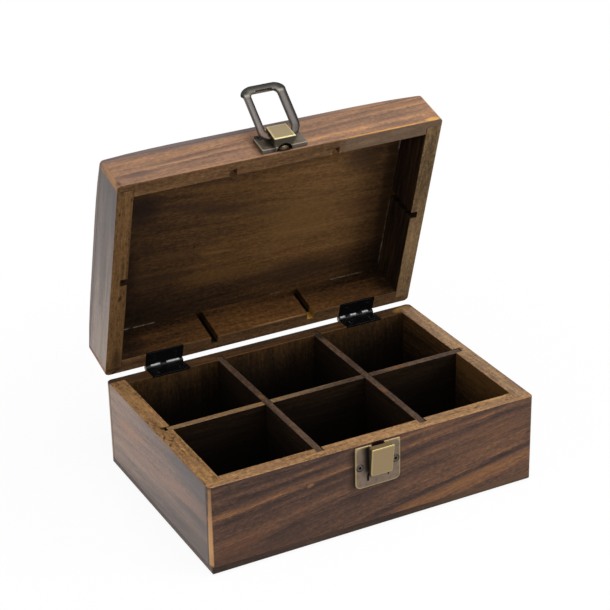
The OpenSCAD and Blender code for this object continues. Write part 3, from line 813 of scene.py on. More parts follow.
def lid_wall_inside():
    # Painted shade: darker toward the top panel and toward both ends, in the lid's inside corners, and
    # lighter in the middle
    def by_place(finish, x, y, z):
        ends = 0.2 * (1 - x.rising(-100, -76))
        return x.near(0, 80) * 0.14 - 0.16 * z.rising(78, 87) - ends - 0.16 * x.rising(88, 102)

    # The inside of each groove, painted near black: painted shade
    def groove(finish, x, y, z, fine):
        beside = abs(abs(x) - CROSS_DIVIDER_X) * -1
        return beside.rising(-2.7, -2.3) * y.rising(INNER_DEPTH + 0.15, INNER_DEPTH + 0.4)

    def chipped_groove(finish, x, y, z, fine):
        return groove(finish, x, y, z, fine) * x.rising(0, 1) * (1 - (z + fine * 4).rising(69, 70))

    return wood(
        "lid_wall_inside", OPENED,
        seed=27.0, tones=LID_WALL_TONES, amounts=(0.4, 0.3, 0.3, 0.5), mottle=0.8, lift=by_place,
        marks=[
            (groove, paint(10, 7, 4)),
            (chipped_groove, paint(150, 112, 48)),
        ],
        spots=[
            (14, 63.4, 22, 0.8, 0, (150, 118, 84), 0.7),
            (-60, 63.6, 30, 0.6, 0, (120, 88, 56), 0.5),
            (66, 63.6, 24, 0.6, 0, (112, 82, 52), 0.5),
            (-92, 74, 12, 14, 0, (30, 20, 14), 0.5),
        ],
        roughness=0.75, specular=0.06,
    )


def lid_side_wall_inside():
    return wood(
        "lid_side_wall_inside", OPENED,
        along="y", seed=28.0, tones=LID_SIDE_WALL_TONES, amounts=(0.5, 0.9, 0.4, 0.3), mottle=0.3,
        roughness=0.75, specular=0.06,
    )


def lid_panel_inside():
    # Painted light and shade over the panel's tone: lighter in the middle, darker toward its ends, the
    # hinge side and the front edge
    def by_place(finish, x, y, z):
        lit = x.rising(-90, -20) * 0.18 + x.rising(-20, 20) * 0.14 - x.rising(70, 102) * 0.24
        return lit - y.rising(30, 56) * 0.26 - y.near(-62, 16) * 0.1 - 0.1

    def glue_line(finish, x, y, z, fine):
        drops = finish.noise(x * 0.25, 0.0, 7.0, 2.0, 0.6)
        here = x.between(-94, -69, 1.5) + x.between(66, 91, 1.5) + x.between(18, 26, 1.5) * 0.5
        amount = (drops * 3.4 + 0.45).at_least(0).at_most(0.75)
        return y.rising(INNER_DEPTH - 1.3, INNER_DEPTH - 0.5) * here.at_most(1) * amount

    def side_glue_line(finish, x, y, z, fine):
        drops = finish.noise(9.0, y * 0.25, 3.0, 2.0, 0.6)
        here = y.between(6, 62, 2) * 0.45 + y.between(42, 51, 1) * 0.5 + y.between(-45, -37, 1)
        amount = (drops * 3 + 0.7).at_least(0).at_most(1)
        return x.rising(INNER_LENGTH - 1.4, INNER_LENGTH - 0.6) * here.at_most(1) * amount

    return wood(
        "lid_panel_inside", OPENED,
        across="y", seed=29.0, tones=PANEL_TONES, amounts=(0.4, 0.3, 0.4, 0.6), mottle=0.55,
        lift=by_place, slope=(-60.0, 0.12, 60.0, -0.06),
        marks=[(glue_line, paint(*PALE_GLUE)), (side_glue_line, paint(*PALE_GLUE))],
        spots=[
            (-24, 37, 36, 9, 0.0, (98, 71, 38), 0.5),
            (36, 4, 36, 26, -0.1, (104, 78, 44), 0.55),
            (-29, 17, 14, 1.8, 0.1, (118, 86, 50), 0.6),
            (-60, 12, 30, 5, 0.1, (84, 60, 36), 0.4),
            (-24, -36, 26, 5, 0.15, (96, 70, 40), 0.5),
            (20, -30, 26, 5, 0.05, (92, 68, 40), 0.4),
            # The darkest spots, along the panel's edges and corners, are partly painted shade
            (-68, 29, 30, 6, 0.0, (44, 31, 23), 0.6),
            (-94, 24, 12, 30, 0, (26, 18, 14), 0.75),
            (-36, -22, 32, 7, 0.28, (50, 36, 28), 0.6),
            (6, -9, 22, 4.5, 0.05, (56, 41, 30), 0.55),
            (-84, -32, 16, 16, 0, (28, 21, 21), 0.75),
            (-50, -48, 26, 6, 0.1, (48, 34, 26), 0.5),
            (76, -36, 18, 11, 0, (40, 29, 24), 0.65),
            (24, -46, 22, 5, 0, (52, 38, 28), 0.5),
            (76, 4, 16, 9, 0, (84, 55, 36), 0.45),
            (30, 50, 40, 12, 0, (40, 29, 23), 0.5),
            (-44.5, 8.6, 0.8, 2.2, 0, (10, 7, 5), 1.0),
            (-44.5, -17, 1.4, 2.0, 0, (46, 26, 16), 0.7),
            (100, 0, 7, 70, 0, (24, 17, 12), 0.6),
        ],
        roughness=0.65, specular=0.08,
    )


def long_divider_top():
    return wood(
        "long_divider_top", across="y",
        seed=33.0, tones=LONG_DIVIDER_TONES, amounts=(0.6, 0.5, 0.5, 0.7), mottle=0.9,
        lift=lambda finish, x, y, z: 0.3 - x.rising(-70, 60) * 0.45,
        spots=[
            (-71, 0, 4, 1.6, 0, (132, 98, 58), 0.6),
            (-50, 0.5, 5, 1.2, 0, (126, 92, 56), 0.5),
            (-38, 0, 4, 3, 0, (112, 78, 50), 0.5),
            (60, 0, 11, 1.6, 0, (116, 74, 42), 0.6),
            (44, 0, 6, 3, 0, (58, 42, 34), 0.5),
            (-12, 0.5, 10, 1.2, 0, (112, 94, 72), 0.5),
        ],
        roughness=0.6,
    )


def cross_divider_top():
    return wood(
        "cross_divider_top", along="y",
        across="x", seed=34.5, tones=CROSS_DIVIDER_TONES, amounts=(0.6, 0.5, 0.5, 0.7), mottle=0.9,
        spots=[
            (8, -36.4, 4, 2, 0, (120, 82, 48), 0.5),
            (-24, -36.4, 8, 3, 0, (74, 58, 56), 0.5),
            (-48, -36.4, 10, 3, 0, (92, 76, 62), 0.4),
            (-23, 36.4, 4, 2.4, 0, (116, 72, 42), 0.6),
            (54, 36.4, 4, 2, 0, (108, 70, 40), 0.4),
            (20, 36.4, 12, 3, 0, (50, 40, 36), 0.6),
            (66, 36.4, 6, 3.4, 0, (20, 15, 11), 0.8),
            (-40, 36.4, 12, 2, 0, (56, 46, 42), 0.5),
        ],
        roughness=0.6,
    )


def divider_side():
    # Painted shade: the dividers' sides are near black and darker toward the bottom, while their tops keep
    # the wood's colour
    def by_place(finish, x, y, z):
        return (z - 66) * 0.012

    return wood(
        "divider_side", seed=34.0,
        tones=SHADED_INSIDE_TONES, amounts=(0.4, 0.4, 0.4, 0.4), mottle=0.3, lift=by_place, roughness=0.8,
        specular=0.05,
    )


def bottom_stain():
    def ends(finish, x, y, z, fine):
        return abs(x).rising(HALF_LENGTH - 0.8, HALF_LENGTH - 0.3) * z.rising(0.2, 2.0)

    def like_the_wall(finish, x, y, z, fine):
        return x.rising(0, 100) * z.rising(0.8, 3.5) * (0.75 + fine)

    return wood(
        "bottom_stain", across="y",
        seed=35.0, tones=BOTTOM_TONES, amounts=(0.5, 0.6, 0.8, 0.4),
        marks=[(ends, paint(98, 85, 79)), (like_the_wall, paint(96, 71, 54))], roughness=0.6,
        specular=0.1,
    )


# ---- Metal


def metal(name, place, base, dark, marks=(), roughness=0.36, grain=0.1):
    """Aged metal: a cloudy patina, and marks: rubbed bright places, dark patina in hollows, and painted
    light and shade.

    A mark is (function of the finish and the point that gives a mask, colour), as in the wood.
    """
    finish = Finish(name, place)
    x, y, z = finish.point()
    cloud = finish.noise(x * 0.3, y * 0.3, z * 0.3, 3.0, 0.6)
    grit = finish.noise(x * 2.6, y * 2.6, z * 2.6, 2.0, 0.6)
    colour = finish.ramp(cloud + grit * 0.2 + 0.5, [(0.3, dark), (0.55, base)])
    for mask, shade in marks:
        colour = finish.mix(mask(finish, x, y, z, grit), colour, shade)
    return finish.surface(
        Base_Color=colour,
        Metallic=0.72,
        Roughness=(roughness + cloud * 0.2 + grit * 0.1),
        Normal=finish.bump(grit, grain, 0.15),
    )


def rounded_rectangle(x, z, half_x, half_z, radius):
    """Distance inside a rounded rectangle's outline, in millimetres."""
    out_x, out_z = abs(x) - (half_x - radius), abs(z) - (half_z - radius)
    far_x, far_z = out_x.at_least(0), out_z.at_least(0)
    corner = (far_x * far_x + far_z * far_z).with_number("SQRT")
    return radius - corner - out_x.at_least(out_z).at_most(0)


def plate_edge(bottom, top, radius, front, width, strength=1.0):
    """Rubbed metal along the outline of a plate's face."""

    def mask(finish, x, y, z, grit):
        middle, half = (top + bottom) / 2, (top - bottom) / 2
        inside = rounded_rectangle(x - LATCH_X, z - middle, PLATE_HALF_WIDTH, half, radius)
        on_face = (0 - y).between(front - 0.5, front + 0.4, 0.15)
        rubbed = 1 - (inside + grit * 0.9).rising(width * 0.25, width)
        return rubbed * on_face * (strength + grit * 0.6)

    return mask


def block_edge(
    bottom, top, foot_half, head_half, foot_front, head_front, width, strength=1.0, middle=LATCH_X
):
    """Rubbed metal along the edges of a block's tapering front face."""

    def mask(finish, x, y, z, grit):
        share = (z - bottom) * (1 / (top - bottom))
        half = share * (head_half - foot_half) + foot_half
        front = share * (head_front - foot_front) + foot_front
        inside = (half - abs(x - middle)).at_most((z - bottom).at_most(top - z))
        on_face = (0 - y - front).rising(-0.75, -0.45)
        rubbed = 1 - (inside + grit * 0.6).rising(width * 0.2, width)
        return rubbed * on_face * (strength + grit * 0.5)

    return mask


def block_face(foot_front, head_front, bottom, top, strength=1.0):
    """1 on a block's front face."""

    def mask(finish, x, y, z, grit):
        front = (z - bottom) * ((head_front - foot_front) / (top - bottom)) + foot_front
        return (0 - y - front).rising(-0.75, -0.45) * strength

    return mask


def block_left_side(half, plate_front, block_front, strength):
    """1 on a block's left side, which lies in its own shade."""

    def mask(finish, x, y, z, grit):
        beyond = (LATCH_X - x).rising(half - 0.75, half - 0.35)
        return beyond * (0 - y).between(plate_front + 0.1, block_front - 0.3, 0.25) * strength

    return mask


def shade_beside(half, reach, low, high, plate_front, strength):
    """Painted shade on a plate, left of its block, where the block's shadow falls."""

    def mask(finish, x, y, z, grit):
        away = LATCH_X - x - half
        near = away.rising(-0.6, -0.1) * (1 - away.rising(0, reach))
        level = near * z.rising(low - 3, low + 3) * (1 - z.rising(high - 0.5, high + 0.5))
        on_plate = 1 - (0 - y).rising(plate_front + 0.2, plate_front + 0.6)
        return level * on_plate * strength

    return mask


def in_slot(finish, x, y, z, grit):
    """1 in the hollow behind the slot in the catch's top, which is painted dark: painted shade."""
    across = (abs(x - LATCH_X) * -1).rising(-CATCH_SLOT_HALF - 0.1, -CATCH_SLOT_HALF + 0.1)
    deep = (y + HALF_DEPTH).rising(-CATCH_SLOT_DEPTH - 0.12, -CATCH_SLOT_DEPTH + 0.05)
    return across * deep * z.rising(CATCH_POCKET, 55)


def catch():
    """The lower plate, with a slot and two slits behind its pressed block."""
    face = block_face(CATCH_FOOT_FRONT, CATCH_HEAD_FRONT, CATCH_BLOCK_FOOT, CATCH_BLOCK_TOP)

    # Painted shade and dark reflection on the block's left side: darkest where it meets the plate, lighter
    # toward its front
    def side(finish, x, y, z, grit):
        out = (0 - y - CATCH_FACE).rising(0, 3.5)
        beyond = (CATCH_BLOCK_X - x).rising(6.9, 7.3) * (0 - y).rising(CATCH_FACE, CATCH_FACE + 0.3)
        return beyond * (1.0 - out * 0.7) * (1 - face(finish, x, y, z, grit))

    # Painted shadow under the block's foot, on the plate, strongest at the left
    def below(finish, x, y, z, grit):
        away = z - (CATCH_BLOCK_FOOT + (x - LATCH_X) * 0.05)
        near = away.rising(-3.4, 0) * (1 - away.rising(0, 0.4))
        return near * (1 - (x - LATCH_X).rising(-9, 5)) * (x - LATCH_X).rising(-9.5, -7.5) * 0.85

    # Painted shade beside the left slit, which widens its dark
    def slit(finish, x, y, z, grit):
        across = (abs(x - LATCH_X + 7.2) * -1).rising(-0.9, -0.6)
        return across * z.between(36.2, 41.5, 0.5)

    def top_face(finish, x, y, z, grit):
        level, out = z.rising(CATCH_BLOCK_TOP - 0.3, CATCH_BLOCK_TOP - 0.1), 0 - y
        behind = 1 - out.rising(CATCH_HEAD_FRONT - 0.9, CATCH_HEAD_FRONT - 0.5)
        return level * out.rising(CATCH_FACE, CATCH_FACE + 0.2) * behind

    marks = [
        (top_face, paint(150, 128, 94)),
        (face, paint(142, 121, 88)),
        (plate_edge(CATCH_FOOT, CATCH_TOP, 4.0, CATCH_FACE, 1.3, 0.75), paint(166, 147, 100)),
        (
            block_edge(
                CATCH_BLOCK_FOOT, CATCH_BLOCK_TOP, CATCH_FOOT_HALF, CATCH_HEAD_HALF, CATCH_FOOT_FRONT,
                CATCH_HEAD_FRONT, 1.3, 0.6, CATCH_BLOCK_X
            ),
            paint(180, 164, 104),
        ),
        (shade_beside(7.2, 6.0, 42, 60, CATCH_FACE, 0.92), paint(30, 22, 17)),
        (below, paint(38, 30, 26)),
        (side, paint(24, 18, 10)),
        (slit, paint(14, 10, 8)),
        (in_slot, paint(26, 10, 7)),
        (screw_shade(CATCH_FACE, CATCH_SCREW_Z), paint(58, 51, 47)),
    ]
    brass = metal("catch_brass", STILL, paint(118, 101, 86), paint(98, 84, 74), marks)
    plate = plate_shell("catch_plate_shell", CATCH_FOOT, CATCH_TOP, 4.0, 1.0, CATCH_FACE - HALF_DEPTH, 0.45)
    slot = box_cutter((LATCH_X, -HALF_DEPTH, 60), (2 * CATCH_SLOT_HALF, 2 * CATCH_SLOT_DEPTH, 14))
    slits = []
    for side, length in ((-1, 4.8), (1, 3.6)):
        middle = (LATCH_X + 0.3 + side * 7.1, -HALF_DEPTH, CATCH_BLOCK_FOOT - 1.8)
        slits.append(box_cutter(middle, (SLIT_WIDTH, 6, length)))
    holes = [screw_cutter(side, CATCH_FACE, CATCH_SCREW_Z) for side in (-1, 1)]
    block = block_shell(
        "catch_block_shell",
        CATCH_BLOCK_FOOT,
        CATCH_BLOCK_TOP,
        (CATCH_FOOT_HALF, CATCH_FOOT_FRONT - HALF_DEPTH),
        (CATCH_HEAD_HALF, CATCH_HEAD_FRONT - HALF_DEPTH),
        1.0,
        0.7,
        (CATCH_SLOT_HALF, CATCH_SLOT_DEPTH, 8.0, CATCH_POCKET, CATCH_BLOCK_TOP),
        middle=CATCH_BLOCK_X,
    )
    mesh = joined("catch_plate_mesh", [carved(plate, [slot, *slits, *holes]), block], STILL)
    piece("catch_plate_brass", mesh, [brass], "base", ["catch_plate"])


def from_screw(x, z, height):
    """Distance from the nearer of a plate's two screws."""
    side = abs(x - LATCH_X) - SCREW_SPREAD
    return (side * side + (z - height) * (z - height)).with_number("SQRT")


def screw_shade(front, height, reach=0.55):
    """The dark ring round a countersunk head."""

    def mask(finish, x, y, z, grit):
        ring = 1 - from_screw(x, z, height).rising(COUNTERSINK - 0.1, COUNTERSINK + reach)
        return ring * (0 - y - front).rising(-3.0, -2.4)

    return mask


def latch():
    """The upper plate with its block, and the spring tongue in the block's arch."""

    def foot_end(finish, x, y, z, grit):
        on_foot = 1 - (z - LATCH_FOOT).rising(0.15, 0.5)
        return on_foot * (1 - (0 - y).rising(LATCH_FACE - 0.3, LATCH_FACE + 0.2))

    def block_foot_end(finish, x, y, z, grit):
        slope = (0 - y - LATCH_FACE) * (BLOCK_LEAN / (LATCH_BLOCK_FRONT - LATCH_FACE)) + LATCH_BLOCK_FOOT
        reach = (0 - y).between(LATCH_FACE + 0.1, LATCH_BLOCK_FRONT - 0.5, 0.2)
        return (1 - (z - slope).rising(0.1, 0.5)) * reach

    # Painted shade: the hollow of the block's arch, near black
    def arch(finish, x, y, z, grit):
        a = (x - LATCH_X + 0.5) * (1 / (ARCH_HALF + 0.6))
        b = (y + HALF_DEPTH) * (1 / (ARCH_HEIGHT + 0.5))
        return (1 - (a * a + b * b).rising(0.86, 1.0)) * (1 - z.rising(ARCH_TOP, ARCH_TOP + 0.5))

    marks = [
        (
            block_face(LATCH_BLOCK_FRONT, LATCH_BLOCK_FRONT, LATCH_BLOCK_FOOT, LATCH_BLOCK_TOP),
            paint(150, 134, 102),
        ),
        (plate_edge(LATCH_FOOT, LATCH_TOP, 2.5, LATCH_FACE, 0.8, 0.75), paint(146, 134, 108)),
        (block_left_side(7.0, LATCH_FACE, LATCH_BLOCK_FRONT, 0.85), paint(48, 40, 28)),
        (foot_end, paint(98, 90, 84)),
        (block_foot_end, paint(60, 54, 42)),
        (
            block_edge(
                LATCH_BLOCK_FOOT + BLOCK_LEAN, LATCH_BLOCK_TOP, 7.3, 7.0,
                LATCH_BLOCK_FRONT, LATCH_BLOCK_FRONT, 1.2, 0.8
            ),
            paint(204, 190, 138),
        ),
        (shade_beside(7.0, 4.5, 62, 82, LATCH_FACE, 0.8), paint(30, 25, 20)),
        (arch, paint(8, 6, 4)),
        (screw_shade(LATCH_FACE, LATCH_SCREW_Z, 1.3), paint(16, 13, 12)),
    ]
    brass = metal("latch_brass", OPENED, paint(104, 93, 80), paint(82, 72, 62), marks)
    plate = plate_shell("latch_plate_shell", LATCH_FOOT, LATCH_TOP, 0.8, 2.5, LATCH_FACE - HALF_DEPTH, 0.6)
    notch = box_cutter((LATCH_X, -HALF_DEPTH, ARCH_TOP - 6), (2 * ARCH_HALF - 0.6, 8, 12))
    holes = [screw_cutter(side, LATCH_FACE, LATCH_SCREW_Z) for side in (-1, 1)]
    block = block_shell(
        "latch_block_shell",
        LATCH_BLOCK_FOOT,
        LATCH_BLOCK_TOP,
        (7.6, LATCH_BLOCK_FRONT - HALF_DEPTH),
        (7.0, LATCH_BLOCK_FRONT - HALF_DEPTH),
        0.5,
        0.45,
        (ARCH_HALF, ARCH_HEIGHT, 2.0, LATCH_BLOCK_FOOT, ARCH_TOP),
        BLOCK_LEAN,
    )
    bore = cylinder_cutter(BAIL_PIVOT, PIVOT_RADIUS + 0.05, 24)
    mesh = joined("latch_plate_mesh", [carved(plate, [notch, *holes]), carved(block, [bore])], OPENED)
    piece("latch_plate_brass", mesh, [brass], "lid", ["latch_plate"])

    # Painted highlight along the middle of the tongue's tip
    def tip_highlight(finish, x, y, z, grit):
        return x.near(LATCH_X - 0.3, 2.6) * z.rising(LATCH_FOOT, LATCH_FOOT + 0.3)

    marks = [(tip_highlight, paint(128, 112, 84))]
    spring = metal("spring_brass", OPENED, paint(74, 64, 46), paint(50, 43, 31), marks)
    mesh = joined("spring_mesh", [tongue_shell()], OPENED)
    piece("spring_tongue", mesh, [spring], "lid", ["latch_spring"])


def ring_inside(x, z):
    """Distance inside the bail's outer outline."""
    top, bottom = BAIL_INNER + BAIL_BAR, -BAIL_HEEL
    half_width = BAIL_OPENING / 2 + BAIL_LEG
    return rounded_rectangle(x, z - (top + bottom) / 2, half_width, (top - bottom) / 2, BAIL_CORNER)


def bail_bronze():
    def along_leg(x, z):
        return 1 - z.rising(BAIL_INNER - 3.5, BAIL_INNER + 0.5)

    def outer_bar(finish, x, y, z, grit):
        return (1 - (ring_inside(x, z) + grit * 0.5).rising(0.9, 4.9)) * (1 - along_leg(x, z)) * 0.97

    # Painted highlight along the middle of the bar
    def bar_highlight(finish, x, y, z, grit):
        return ring_inside(x, z).between(3.2, 6.0, 0.8) * (1 - along_leg(x, z)) * 0.6

    # Painted highlight along the crest of each leg
    def leg_highlight(finish, x, y, z, grit):
        crest = ring_inside(x, z).near(2.4, 1.9) * along_leg(x, z)
        return crest * (z.rising(2, 10) * 0.8) * (0.9 + grit * 0.5)

    # Painted highlight: the left leg's outer edge, pale as a blown-out reflection
    def leg_edge_highlight(finish, x, y, z, grit):
        outer = (1 - ring_inside(x, z).rising(0.1, 1.0)) * along_leg(x, z)
        return outer * (1 - x.rising(-1, 1)) * z.rising(12, 30) * 0.9

    # Painted shade along the right-hand edge of each leg
    def leg_edge_shade(finish, x, y, z, grit):
        right = x.rising(-1, 1)
        inside = ring_inside(x, z)
        outer = (1 - inside.rising(0.4, 1.5)) * right
        inner = inside.rising(BAIL_LEG - 1.5, BAIL_LEG - 0.4) * (1 - right)
        return (outer + inner) * along_leg(x, z) * 0.92

    def foot(finish, x, y, z, grit):
        return (1 - z.rising(3, 15)) * (1 - x.rising(-1, 1)) * 0.75

    # Painted light: the recess is painted lighter than the metal, against the shade its depth gives
    def recess(finish, x, y, z, grit):
        return z.between(BAIL_INNER - 0.2, BAIL_INNER + BAR_RECESS_DEPTH, 0.2) * (
            1 - abs(x).rising(BAR_RECESS / 2 - 0.3, BAR_RECESS / 2 + 0.1)
        )

    # Painted highlight: a pale ridge along the bar's inner edge
    def ridge_highlight(finish, x, y, z, grit):
        level = (z - BAIL_INNER + 1.2 + grit * 1.2).near(0, 1.7)
        return level * ring_inside(x, z).between(0.9, 4.6, 0.7) * 0.6

    marks = [
        (foot, paint(76, 60, 49)),
        (leg_highlight, paint(84, 79, 76)),
        (bar_highlight, paint(82, 78, 68)),
        (leg_edge_shade, paint(26, 23, 21)),
        (leg_edge_highlight, paint(168, 162, 156)),
        (recess, paint(106, 95, 88)),
        (outer_bar, paint(13, 14, 10)),
        (ridge_highlight, paint(126, 120, 108)),
    ]
    return metal("bail_bronze", BAIL_PLACE, paint(62, 57, 53), paint(48, 44, 41), marks, 0.4, 0.03)


def black_gloss(name, place):
    """Shiny black lacquer on steel, a little uneven."""
    finish = Finish(name, place)
    x, y, z = finish.point()
    dimple = finish.noise(x * 0.6, y * 0.6, z * 0.6, 2.0)
    grit = finish.noise(x * 3.0, y * 3.0, z * 3.0, 2.0)
    colour = finish.ramp(grit + 0.5, [(0.3, paint(4, 4, 5)), (0.75, paint(12, 12, 13))])
    # Painted highlights: white streaks along the tops of the knuckles
    knuckle_top = (y - HINGE_Y + 0.2).near(0, 1.6) * (z - HINGE_Z).between(0.7, 2.0, 0.25)
    for start, stop in PAINTED_GLINTS:
        colour = finish.mix(x.between(start, stop, 0.5) * knuckle_top, colour, paint(240, 240, 240))
    relief = finish.bump(dimple + grit * 0.2, 0.3, 0.3)
    return finish.surface(Base_Color=colour, Roughness=(0.2 + grit * 0.2), Specular=0.16, Normal=relief)


# ---- Meshes


def in_scene(name, data):
    """A new object in the scene."""
    made = bpy.data.objects.new(name, data)
    bpy.context.scene.collection.objects.link(made)
    return made


def piece(name, mesh, materials, body, nodes):
    """A dressed piece that rides a body and stands for the CAD's nodes."""
    made = in_scene(name, mesh)
    mesh.materials.clear()
    for material in materials:
        mesh.materials.append(material)
    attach(made, body)
    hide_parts(*nodes)
    return made


def softened(node, rounding, place=STILL, segments=3):
    """The CAD node's own shape, as a closed mesh with its edges rounded.

    rounding gives an edge's radius in millimetres from its middle and its direction.
    """
    work = bmesh.new()
    work.from_mesh(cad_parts[node].data)
    bmesh.ops.remove_doubles(work, verts=work.verts, dist=2e-6)
    bmesh.ops.dissolve_limit(work, angle_limit=math.radians(0.6), verts=work.verts, edges=work.edges)
    bmesh.ops.recalc_face_normals(work, faces=work.faces)
    back = place.inverted()
    mesh = bpy.data.meshes.new(node + "_softened")
    radii = []
    for edge in work.edges:
        radius = 0.0
        if len(edge.link_faces) == 2 and edge.is_convex and edge.calc_face_angle(0.0) > math.radians(28):
            ends = [back @ (vertex.co / MM) for vertex in edge.verts]
            radius = rounding((ends[0] + ends[1]) / 2, (ends[1] - ends[0]).normalized())
        radii.append(radius)
    largest = max(radii) or 1.0
    layer = work.edges.layers.float.new("bevel_weight_edge")
    for edge, radius in zip(work.edges, radii):
        edge[layer] = radius / largest
    work.to_mesh(mesh)
    work.free()
    mesh.shade_smooth()
    holder = in_scene(node + "_holder", mesh)
    bevel = holder.modifiers.new("round", "BEVEL")
    bevel.limit_method = "WEIGHT"
    bevel.width = largest * MM
    bevel.segments = segments
    bevel.use_clamp_overlap = False
    bevel.loop_slide = False
    holder.modifiers.new("shade", "WEIGHTED_NORMAL")
    return plain_mesh(holder, node + "_mesh")


def plain_mesh(holder, name):
    """The evaluated mesh of an object, which is then removed."""
    bpy.context.view_layer.update()
    evaluated = holder.evaluated_get(bpy.context.evaluated_depsgraph_get())
    mesh = bpy.data.meshes.new_from_object(evaluated)
    mesh.name = name
    bpy.data.objects.remove(holder)
    return mesh


def choose_faces(mesh, place, choose):
    """Gives each face the material whose number choose returns for its middle and its outward way."""
    back = place.inverted()
    turn = back.to_3x3()
    for face in mesh.polygons:
        face.material_index = choose(back @ (face.center / MM), turn @ face.normal)


def close(a, b, slack=0.02):
    """Whether two lengths are the same but for rounding."""
    return abs(a - b) < slack


def board_rounding(rim):
    """Edge radii of a wall board whose rim is at the given height."""

    def rounding(middle, way):
        outer = close(abs(middle.x), HALF_LENGTH) or close(abs(middle.y), HALF_DEPTH)
        if close(middle.z, rim) and abs(way.z) < 0.1:
            if close(middle.y, HALF_DEPTH) and abs(way.x) > 0.9:
                return RIM_HINGE_EDGE
            past = (abs(middle.x) - (HALF_LENGTH - CORNER), abs(middle.y) - (HALF_DEPTH - CORNER))
            if outer or math.hypot(*past) > CORNER - 0.1 and min(past) > -0.1:
                return RIM_OUTER_EDGE
            if close(abs(middle.x), INNER_LENGTH) or close(abs(middle.y), INNER_DEPTH):
                return RIM_INNER_EDGE
            return JOINT_EDGE
        return BOARD_EDGE if abs(way.z) < 0.1 and outer else JOINT_EDGE

    return rounding


def wall_faces(rim):
    """0 outside, 1 rim, 2 inside."""

    def outward(at, way, half):
        return way * math.copysign(1, at) if abs(at) > half - CORNER - 0.1 else 0

    def choose(middle, way):
        if close(middle.z, rim, 1.0) and abs(way.z) > 0.6:
            return 1
        facing = max(outward(middle.x, way.x, HALF_LENGTH), outward(middle.y, way.y, HALF_DEPTH))
        return 0 if facing > 0.3 else 2

    return choose


def wall_board(node, body, place, rim, materials):
    mesh = softened(node, board_rounding(rim), place)
    made = piece(node + "_board", mesh, materials, body, [node])
    choose_faces(mesh, place, wall_faces(rim))
    return made


def small_rounding(radius):
    """The same radius for every edge."""
    return lambda middle, way: radius


def bottom_rounding(middle, way):
    """The bottom board's corners are sanded rounder than its edges."""
    if abs(way.z) > 0.9:
        return BOTTOM_CORNER
    return BOTTOM_FOOT_EDGE if close(middle.z, 0.0) else BOARD_EDGE


def base_boards():
    """The walls, the bottom and the dividers."""
    rim, inside, end, side_inside = rim_wood(), inside_stain(), end_stain(), side_inside_stain()
    for side, materials in (
        ("front", [front_stain(), rim, inside]),
        ("back", [back_stain(), back_rim_wood(), inside]),
        ("left", [end, side_rim_wood(), side_inside]),
        ("right", [end, right_rim_wood(), side_inside]),
    ):
        wall_board(f"base_{side}_panel", "base", STILL, BASE_RIM, materials)
    mesh = softened("base_bottom_panel", bottom_rounding, segments=5)
    piece("base_bottom_board", mesh, [bottom_stain()], "base", ["base_bottom_panel"])
    side = divider_side()
    lengthwise, crosswise = long_divider_top(), cross_divider_top()
    for node, top in (
        ("long_divider", lengthwise), ("cross_divider_left", crosswise), ("cross_divider_right", crosswise)
    ):
        mesh = softened(node, small_rounding(DIVIDER_EDGE))
        piece(node + "_board", mesh, [side, top], "base", [node])
        choose_faces(mesh, STILL, lambda middle, way: 1 if way.z > 0.3 and middle.z > 60 else 0)


def lid_boards():
    """The lid's walls and its crowned top."""
    rim, inside, side_inside = lid_rim_wood(), lid_wall_inside(), lid_side_wall_inside()
    front, end = lid_front_stain(), lid_end_stain()
    for side, materials in (
        ("front", [front, rim, inside]),
        ("back", [lid_back_stain(), rim, inside]),
        ("left", [end, lid_side_rim_wood(), side_inside]),
        ("right", [end, lid_right_rim_wood(), side_inside]),
    ):
        wall_board(f"lid_{side}_panel", "lid", OPENED, LID_RIM, materials)
    mesh = softened("lid_top_panel", small_rounding(BOARD_EDGE), OPENED)
    piece("lid_top_board", mesh, [lid_top_stain(), lid_panel_inside()], "lid", ["lid_top_panel"])
    choose_faces(mesh, OPENED, lambda middle, way: 1 if way.z < -0.7 else 0)


def arc(middle, radius, start, stop, steps):
    """Points on an arc, with its angles in degrees."""
    points = []
    for i in range(steps + 1):
        angle = math.radians(start + (stop - start) * i / steps)
        points.append((middle[0] + radius * math.cos(angle), middle[1] + radius * math.sin(angle)))
    return points


def add_loft(work, rows):
    """Closed faces over rows of as many points each."""
    rings = [[work.verts.new(point) for point in row] for row in rows]
    count = len(rings[0])
    for first, second in zip(rings, rings[1:]):
        for i in range(count):
            j = (i + 1) % count
            work.faces.new((first[i], first[j], second[j], second[i]))
    work.faces.new(rings[0])
    work.faces.new(list(reversed(rings[-1])))


def finished(work, name):
    """The mesh that a bmesh holds, with its faces outward."""
    bmesh.ops.recalc_face_normals(work, faces=work.faces)
    mesh = bpy.data.meshes.new(name)
    work.to_mesh(mesh)
    work.free()
    return mesh


def lofted(name, rows):
    """A closed mesh, in millimetres, over rows of as many points each."""
    work = bmesh.new()
    add_loft(work, rows)
    return finished(work, name)


# The angles of a rounded edge's steps
QUARTER_TURN = [math.radians(22.5 * i) for i in range(5)]


def plate_shell(name, low, high, low_radius, high_radius, thickness, edge):
    """A flat plate on the box's front, with rounded corners and a rounded front edge."""
    rows = []
    turned = [(thickness - edge + edge * math.sin(t), edge * (1 - math.cos(t))) for t in QUARTER_TURN]
    for reach, drawn_in in [(0.0, 0.0), *turned]:
        outline = []
        for side_x, z_middle, radius, start in (
            (1, low + low_radius, low_radius, -90),
            (1, high - high_radius, high_radius, 0),
            (-1, high - high_radius, high_radius, 90),
            (-1, low + low_radius, low_radius, 180),
        ):
            middle = (LATCH_X + side_x * (PLATE_HALF_WIDTH - radius), z_middle)
            outline += arc(middle, radius - drawn_in, start, start + 90, 7)
        rows.append([(px, -HALF_DEPTH - reach, pz) for px, pz in outline])
    return lofted(name, rows)


